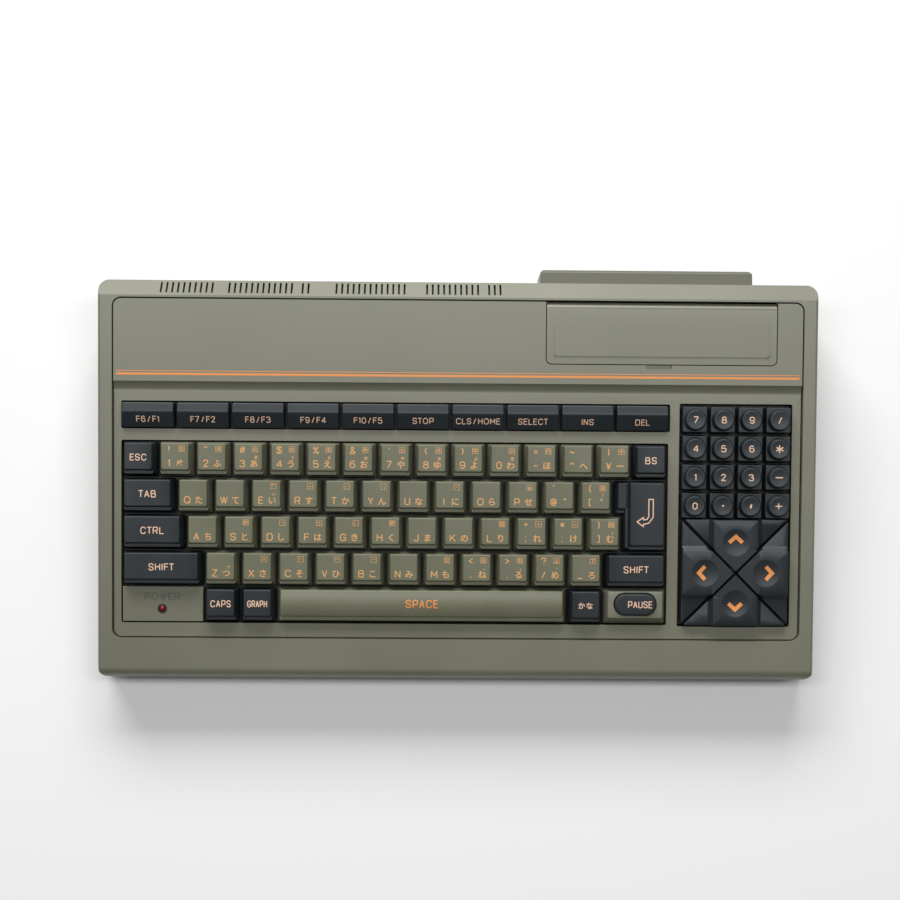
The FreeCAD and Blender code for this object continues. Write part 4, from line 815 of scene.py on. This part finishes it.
edge_line = cursor_reach - cursor_gap
shelf_rings = []
for inset, level in ((0, key_foot), (0, cursor_shelf - 0.4), (0.1, cursor_shelf - 0.1), (0.35, cursor_shelf)):
    outline = quarter(edge_line - inset, cursor_gap + inset)
    shelf_rings.append((filleted(outline, cursor_corner, cursor_around), level))
pad_rings = []
for half, inset, level in ((cursor_step, 0, cursor_shelf - 0.4), (cursor_step, 0, cursor_shelf),
                           (cursor_pad + 0.3, 0.1, cursor_pad_top - 0.35),
                           (cursor_pad + 0.1, 0.2, cursor_pad_top - 0.1),
                           (cursor_pad - 0.15, 0.4, cursor_pad_top)):
    pad_rings.append((filleted(pad_outline(half, edge_line - inset), cursor_corner, cursor_around), level))
rim = pad_rings[-1][0] - (0, thumb_place)
rim_turns = np.unwrap(np.arctan2(rim[:, 1], rim[:, 0]))
rim_turns = rim_turns[0] + np.linspace(0, 2 * math.pi, cursor_around, endpoint=False)
circle = np.column_stack([np.cos(rim_turns), np.sin(rim_turns)])
for radius in (thumb_radius + 0.25, thumb_radius, thumb_radius - 0.3, 6, 5, 4, 3, 2, 1, 0.05):
    flat = radius * circle + (0, thumb_place)
    pad_rings.append((flat, thumb_level(*flat.T)))
chevron_foot = thumb_place - chevron_rise / 2 + chevron_out
chevron = [(-chevron_half, chevron_foot), (0, chevron_foot + chevron_rise), (chevron_half, chevron_foot)]
for node, turn in (("cursor_up_key", 0), ("cursor_left_key", 90), ("cursor_down_key", 180),
                   ("cursor_right_key", 270)):
    angle = math.radians(turn)
    cosine, sine = math.cos(angle), math.sin(angle)
    spin = np.array([[cosine, sine, 0], [-sine, cosine, 0], [0, 0, 1]])
    middle = (*cursor_middle, 0)
    points, faces = several([stacked(shelf_rings), stacked(pad_rings)])
    piece = surface(node.replace("key", "cap"), points @ spin + middle, faces, dark_plastic, node)
    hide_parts(node)
    flat, faces = stroke(chevron, chevron_width)
    points = np.column_stack([flat, thumb_level(*flat.T) + ink_lift])
    surface(node.replace("key", "chevron"), points @ spin + middle, faces, orange_ink, node, False)


# Pause key
# A pill of the dark ABS that travels in the well of a fixed block. The block is moulded in the
# case's plastic and stands on the deck, and the pill stands on a plunger.
pause_cell = cell_of(4, 13.25, 1.75)
pause_top = top_of(pause_cell)
pause_block_top = 2.2
pill_length = 21.8
pill_width = 11.4
pill_top = 3.4
pill_rearward = 0.3
pill_play = 0.4
pill_foot = -0.5
pill_well = -4.15
pill_around = 96
pause_corner = 0.9
pause_shift = 2.4
pause_letter = 3.2
pill_middle = ((pause_cell[0] + pause_cell[1]) / 2, (pause_top[2] + pause_top[3]) / 2 + pill_rearward)


def pill(inset):
    """A run of two half circles joined by straight sides."""
    half = pill_width / 2 - inset
    run = (pill_length - pill_width) / 2
    turns = np.radians(225) + np.linspace(0, 2 * math.pi, pill_around, endpoint=False)
    ring = half * np.column_stack([np.cos(turns), np.sin(turns)])
    return ring + np.column_stack([np.copysign(run, np.cos(turns)), np.zeros(pill_around)]) + pill_middle


def block_ring(outline):
    """A rounded rectangle sampled in as many steps as the pill."""
    left, right, front, rear = outline
    return filleted([(left, front), (right, front), (right, rear), (left, rear)], pause_corner, pill_around)


block_levels = []
for outline, level in ((pause_cell, key_foot), (shrunk(pause_top, -0.1), pause_block_top - 0.35),
                       (shrunk(pause_top, 0.05), pause_block_top - 0.08),
                       (shrunk(pause_top, 0.35), pause_block_top)):
    block_levels.append((block_ring(outline), level))
hole = pill(-pill_play)
start = np.argmin(np.linalg.norm(hole - block_levels[-1][0][0], axis=1))
hole = np.roll(hole, -start, 0)
lip = np.roll(pill(-pill_play - 0.25), -start, 0)
block_levels += [(lip, pause_block_top), (hole, pause_block_top - 0.25), (hole, pill_well)]
piece = surface("pause_surround", *stacked(block_levels), case_plastic, "case")
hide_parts("pause_block")
pill_levels = [(pill(0), pill_foot), (pill(0), pill_top - 0.7), (pill(0.2), pill_top - 0.25),
               (pill(0.6), pill_top - 0.03), (pill(1.0), pill_top), (pill(3.0), pill_top + 0.05),
               (pill(5.0), pill_top + 0.05)]
piece = surface("pause_pill", *stacked(pill_levels), dark_plastic, "pause_key")
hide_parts("pause_key")
marks = printed([("PAUSE", pause_letter, pill_middle[0] + pause_shift, pill_middle[1])],
                level_at(pill_top), tracking=0.12, lift=2 * ink_lift, stretch=0.84)
surface("pause_legend", *marks, peach_ink, "pause_key", False)


# Lamp
# A clear acrylic lens in a clip ring, pushed into the small panel at the front left. The panel is
# the case's plastic, with one printed word.
lamp_plate_top = -2.2
lamp_edge = 0.2
lamp_middle = (-121.8, -42.0)
lamp_word_rearward = 6.4
lamp_letter = 3.4
lamp_radius = 1.8
lens_foot = -4.4
lens_rise = 1.1
clip_levels = [(2.4, -2.4), (2.4, -2.0), (2.25, -1.85), (1.95, -1.85), (1.82, -2.0), (1.82, -2.15)]


def plain(name, colour, roughness, **more):
    """One even colour and sheen. more sets other sockets."""
    material, tree = bare(name)
    skin = add(tree, "ShaderNodeBsdfPrincipled",
               {"Base Color": linear(colour), "Roughness": roughness, **more})
    add(tree, "ShaderNodeOutputMaterial", links={"Surface": skin.outputs["BSDF"]})
    return material


edged("lamp_panel", "lamp_plate", case_plastic, lamp_edge)
# The ink is close to the plastic's own grey, so the word is only just read.
word_ink = ink("grey printing ink", "#5d5f55")
word_place = (lamp_middle[0], lamp_middle[1] + lamp_word_rearward)
word = printed([("POWER", lamp_letter, *word_place)], level_at(lamp_plate_top))
surface("lamp_word", *word, word_ink, "case", False)
surface("lamp_clip", *turned(*lamp_middle, clip_levels, 32), dark_plastic, "case")
# Polished red acrylic: nearly black while the lamp is off, with one sharp glint on its dome.
red_lens = plain("red acrylic lens", "#74101a", 0.12, IOR=1.49)
lens_levels = [(lamp_radius, lens_foot), (lamp_radius, lamp_plate_top)]
lens_levels += [(lamp_radius * math.cos(turn), lamp_plate_top + lens_rise * math.sin(turn))
                for turn in np.radians([20, 40, 60, 80, 89])]
piece = surface("lamp_lens", *turned(*lamp_middle, lens_levels, 24), red_lens, "case")
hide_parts("power_lamp")


# Slot lid and rear slot cap
# Two more mouldings of the case's plastic: a hinged lid over the top slot, and a cover that
# pushes on to the rear one.
cover_edge = 0.3
edged("slot_lid", "slot_lid_moulding", case_plastic, deck_edge, "slot_lid")
# The same grain as the case's, in a batch that reads a shade darker.
cover_plastic = moulded("darker warm grey ABS, spark-eroded grain", "#5d5d4d", "#585849", case_roughness,
                        case_grain, case_patch)
edged("rear_slot_cap", "rear_cap_moulding", cover_plastic, cover_edge, "rear_slot_cap")


# Inner pieces and bought parts
# Boards, shields, socket bodies and screws, each in its own common material. Most of them show
# only through an opening of the case.

# Black ABS has a soft sheen and rubber next to none. Nickel mirrors warmly, tin and zinc more dully.
# Solder mask and film are smooth and bright, silicone is dull, and laminations are a brown half-metal.
black_abs = plain("black ABS", "#1b1b1b", 0.45)
black_rubber = plain("moulded black rubber", "#151515", 0.7)
nickel = plain("nickel plate", "#c8c4bc", 0.25, Metallic=1.0)
finishes = (
    (black_abs, "top_slot_well keyboard_frame tape_socket joystick_ports slot_connectors"),
    (black_rubber, "rubber_feet"),
    (nickel, "sound_picture_jacks printer_socket"),
    (plain("tinned steel", "#c9c9c5", 0.35, Metallic=1.0), "rf_unit"),
    (plain("zinc-plated steel", "#b9bab8", 0.4, Metallic=1.0), "case_screws keyboard_back_plate"),
    (plain("green solder mask", "#1f5a34", 0.35), "main_board power_board"),
    (plain("grey silicone rubber", "#9a9a94", 0.6), "contact_sheet"),
    (plain("printed polyester film", "#c8c9c0", 0.3), "membrane_sheet"),
    (plain("varnished laminations", "#3b352c", 0.5, Metallic=0.6), "power_transformer"),
)
for material, nodes in finishes:
    for node in nodes.split():
        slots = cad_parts[node].data.materials
        for index in range(len(slots)):
            slots[index] = material


# Power and channel switches
# A rocker in a clipped bezel, and the knob of a slide switch that looks out of a slot, all moulded
# in black ABS.
for node, edge, body in (("power_switch", 0.3, "power_switch"), ("switch_housing", 0.3, "case"),
                         ("channel_switch", 0.2, "channel_switch")):
    edged(node, node + "_moulding", black_abs, edge, body)


# Rear sockets
# Plated barrels with moulded insulators, a round socket, a ribbon socket and a rubber gland, which
# stand on the wall of a bay. One word for each is printed on the case over the bay.
socket_wall = 90.95
socket_height = 22.0
word_wall = 99.45
word_height = 36.2
jack_radius = 4.25
jack_reach = 8.05
jack_mouth = 1.65
jacks = ((-113.03, "black insulator", "#1b1b1b"), (-64.03, "white insulator", "#d9d6cb"),
         (-49.03, "yellow insulator", "#d9b23a"))
din_place = -24.02
din_flange = 7.9
din_mouth = 5.95
din_depth = 8.4
din_core = 4.65
din_pins = 7
din_pin_ring = 3.0
gland_place = -157.03
gland_radius = 4.6
gland_plain = 2.6
gland_taper = 0.16
printer_place = 9.98
blade_half = 18.9
blade_rise = 1.3
blade_reach = 5.0
contact_pitch = 2.16
contact_width = 1.3
contact_count = 17
contact_proud = 0.15
word_size = 2.3
rear_words = (("POWER", -140.0), ("RF", -113.0), ("CH     1     2", -92.5), ("AUDIO", -64.0),
              ("VIDEO", -49.0), ("TAPE", -24.0), ("PRINTER", 10.0))


def rear(points):
    """Places in mm seen from behind, (left to right, up, out of the wall), as places in metres."""
    u, v, w = np.moveaxis(np.asarray(points, float), -1, 0)
    return millimetre * np.stack([-u, socket_wall + w, v], -1)


def block(low, high):
    """A box between two corners."""
    ends = np.array([low, high], float)
    flat = np.array([(0, 0), (1, 0), (1, 1), (0, 1)])
    points = [(ends[a, 0], ends[b, 1], ends[level, 2]) for level in (0, 1) for a, b in flat]
    return np.array(points), ring_faces(2, 4).tolist() + [[3, 2, 1, 0], [4, 5, 6, 7]]


def round_piece(name, place, profile, material):
    """A turned piece of a socket, whose axis stands square on the wall."""
    return surface(name, *turned(-place, socket_height, profile), material, "case", place=rear)


# The insulators are glossy nylon, whose colours tell the jacks apart.
for number, (place, name, colour) in enumerate(jacks):
    barrel = [(jack_radius, -1), (jack_radius, jack_reach - 0.4), (jack_radius - 0.4, jack_reach),
              (3.5, jack_reach), (3.5, 0.85)]
    insulator = [(3.45, 0.9), (3.45, jack_reach - 0.03), (jack_mouth, jack_reach - 0.03),
                 (jack_mouth - 0.1, 1)]
    washer = [(5.5, -1), (5.5, 0.4), (5.3, 0.6), (jack_radius, 0.6)]
    round_piece(f"jack_barrel_{number + 1}", place, barrel, nickel)
    round_piece(f"jack_insulator_{number + 1}", place, insulator, plain(name, colour, 0.4))
    round_piece(f"jack_washer_{number + 1}", place, washer, black_abs)

flange = [(din_flange, -din_depth - 0.1), (din_flange, 0.4), (din_flange - 0.3, 0.7), (din_mouth + 0.2, 0.7),
          (din_mouth, 0.4), (din_mouth, -din_depth)]
sleeve = [(din_mouth - 0.05, -din_depth), (din_mouth - 0.05, 0.1), (din_mouth - 0.3, 0.1),
          (din_mouth - 0.3, -din_depth + 0.1)]
round_piece("tape_flange", din_place, flange, black_abs)
round_piece("tape_sleeve", din_place, sleeve, nickel)
core = [(din_core, -din_depth), (din_core, -2.2), (din_core - 0.3, -2.0), (0.1, -2.0)]
# Nylon is a shade lighter than the ABS round it. The pin holes are painted shade: flat near-black discs on
# the core stand in for the dark inside an open hole.
round_piece("tape_core", din_place, core, plain("grey nylon", "#3a3a3a", 0.5))
# Painted shade: a near-black disc sits where each pin hole would be, and no opening is cut.
turns = np.radians(-40 + np.arange(din_pins) * 260 / (din_pins - 1))
hole_shades = [turned(-din_place + din_pin_ring * math.cos(turn), socket_height + din_pin_ring * math.sin(turn),
                [(0.6, -2.0), (0.6, -1.98), (0.1, -1.98)], 12) for turn in turns]
surface("tape_pin_hole_shade", *several(hole_shades), plain("painted pin hole shade", "#030303", 0.9), "case", place=rear)

gland = [(6.6, -5.05), (6.6, -2.55), (gland_radius, -2.55), (gland_radius, gland_plain)]
for level in (2.8, 4.2, 5.6, 7.0):
    radius = gland_radius - gland_taper * (level - gland_plain)
    gland += [(radius, level), (radius, level + 0.8), (radius - 0.6, level + 0.9),
              (radius - 0.6, level + 1.2)]
gland = gland[:-2] + [(3.9, 7.95), (2.6, 7.95), (2.4, 7.7), (2.4, -6)]
piece = round_piece("cord_gland_moulding", gland_place, gland, black_rubber)
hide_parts("cord_gland")

blade = block((-printer_place - blade_half, socket_height - blade_rise, -1),
              (-printer_place + blade_half, socket_height + blade_rise, blade_reach))
surface("printer_blade", *blade, black_abs, "case", False, rear)
contacts = []
for index in range(contact_count):
    middle = -printer_place + (index - (contact_count - 1) / 2) * contact_pitch
    contacts.append(block((middle - contact_width / 2, socket_height - blade_rise - contact_proud, -1),
                          (middle + contact_width / 2, socket_height + blade_rise + contact_proud,
                           blade_reach - 0.6)))
# Gold gives the row of contacts a warm glint in the dark of the shell.
gold = plain("gold plate", "#d9b45a", 0.3, Metallic=1.0)
surface("printer_contacts", *several(contacts), gold, "case", False, rear)

# A pale ink that is read in the shade behind the machine.
cream_ink = ink("cream printing ink", "#d8d3c0")
word_level = level_at(word_wall - socket_wall)
words = printed([(text, word_size, -place, word_height) for text, place in rear_words], word_level,
                stretch=1.0)
surface("rear_words", *words, cream_ink, "case", False, rear)


# Joystick ports
# Two plated D-shaped shells with nine pins each, which look out through the right side wall. Each
# has its number printed beside it.
port_places = (-38.73, 5.27)
port_height = 20.0
port_face = 187.98
port_floor = 184.8
port_half = 9.55
port_rise = 5.3
port_sheet = 0.9
pin_radius = 0.6
pin_pitch = 2.76
side_wall = 188.03
number_size = 2.6
number_left = 13.5


def right_side(points):
    """Places in mm seen from the right, (left to right, up, out of the wall), as places in metres."""
    u, v, w = np.moveaxis(np.asarray(points, float), -1, 0)
    return millimetre * np.stack([w, u, v], -1)


def port_ring(place, inset, level):
    """The D's outline, wide at the top: its sides lean in by a third of the rise."""
    half = port_half - inset
    rise = port_rise - inset
    lean = rise / 3
    low, high = port_height - rise, port_height + rise
    return [(place - half + lean, low, level), (place + half - lean, low, level),
            (place + half, high, level), (place - half, high, level)]


shells = []
pins = []
for place in port_places:
    rings = [port_ring(place, 0, port_floor), port_ring(place, 0, port_face - 0.2),
             port_ring(place, 0.2, port_face), port_ring(place, port_sheet - 0.2, port_face),
             port_ring(place, port_sheet, port_face - 0.2), port_ring(place, port_sheet, port_floor)]
    shells.append((np.vstack(rings), ring_faces(len(rings), 4).tolist()))
    for row, count in ((1, 5), (-1, 4)):
        for index in range(count):
            u = place + (index - (count - 1) / 2) * pin_pitch
            v = port_height + row * pin_pitch / 2
            profile = [(pin_radius, port_floor - 0.5), (pin_radius, port_floor + 2.1),
                       (pin_radius - 0.2, port_floor + 2.4), (0.1, port_floor + 2.5)]
            pins.append(turned(u, v, profile, 12))
surface("port_shells", *several(shells), nickel, "case", False, right_side)
surface("port_pins", *several(pins), nickel, "case", True, right_side)
numbers = printed([(text, number_size, place - number_left, port_height)
                   for text, place in zip("12", port_places)], level_at(side_wall))
surface("port_numbers", *numbers, cream_ink, "case", False, right_side)


# Floor, light and camera
# A pale matt table, a large soft lamp behind and over the machine, a long one above it, and a camera
# almost straight above.
floor_half = 3.0
floor_mesh = bpy.data.meshes.new("floor")
floor_corners = [(x * floor_half, y * floor_half, 0.0) for x, y in ((-1, -1), (1, -1), (1, 1), (-1, 1))]
floor_mesh.from_pydata(floor_corners, [], [(0, 1, 2, 3)])
# White and matt, so that it gives only soft shadows.
floor_mesh.materials.append(plain("pale table", "#f6f6f6", 0.9))
floor = bpy.data.objects.new("floor", floor_mesh)
bpy.context.collection.objects.link(floor)
floor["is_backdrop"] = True


def lamp(name, place, size, power):
    """A soft rectangular lamp that faces the machine."""
    light = bpy.data.lights.new(name, "AREA")
    light.energy = power
    light.shape = "RECTANGLE"
    light.size, light.size_y = size
    holder = bpy.data.objects.new(name, light)
    bpy.context.collection.objects.link(holder)
    holder.location = place
    holder.rotation_euler = (Vector((0, 0, 0)) - Vector(place)).to_track_quat("-Z", "Y").to_euler()


lamp("rear softbox", (-0.3, 2.0, 1.15), (2.2, 0.9), 64.0)
lamp("overhead strip", (0.0, 0.16, 1.39), (1.7, 0.24), 9.5)
world = bpy.data.worlds.new("studio")
bpy.context.scene.world = world
world.use_nodes = True
background = world.node_tree.nodes["Background"]
background.inputs["Color"].default_value = (1.0, 1.0, 1.0, 1.0)
background.inputs["Strength"].default_value = 0.14

focal_pixels = 1500.0
frame_pixels = 900.0
sensor_width = 36.0
eye = (17.09, 72.17, 783.5)
view_turns = (0.0380, 0.01459, -0.00728)
turn_x, turn_y, turn_z = (np.array(Matrix.Rotation(turn, 3, axis)) for turn, axis in zip(view_turns, "XYZ"))
slope = np.array(Matrix.Rotation(deck_slope, 3, "X"))
axes = slope @ (turn_z @ turn_y @ turn_x).T
bpy.context.scene.view_settings.view_transform = "Standard"
camera_data = bpy.data.cameras.new("camera")
camera_data.sensor_width = sensor_width
camera_data.lens = sensor_width * focal_pixels / frame_pixels
camera = bpy.data.objects.new("camera", camera_data)
bpy.context.collection.objects.link(camera)
camera.matrix_world = Matrix.Translation(Vector(deck(eye))) @ Matrix(axes.tolist()).to_4x4()
bpy.context.scene.camera = camera

# The corners of the solids and of the dressed machine, in metres.
low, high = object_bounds()
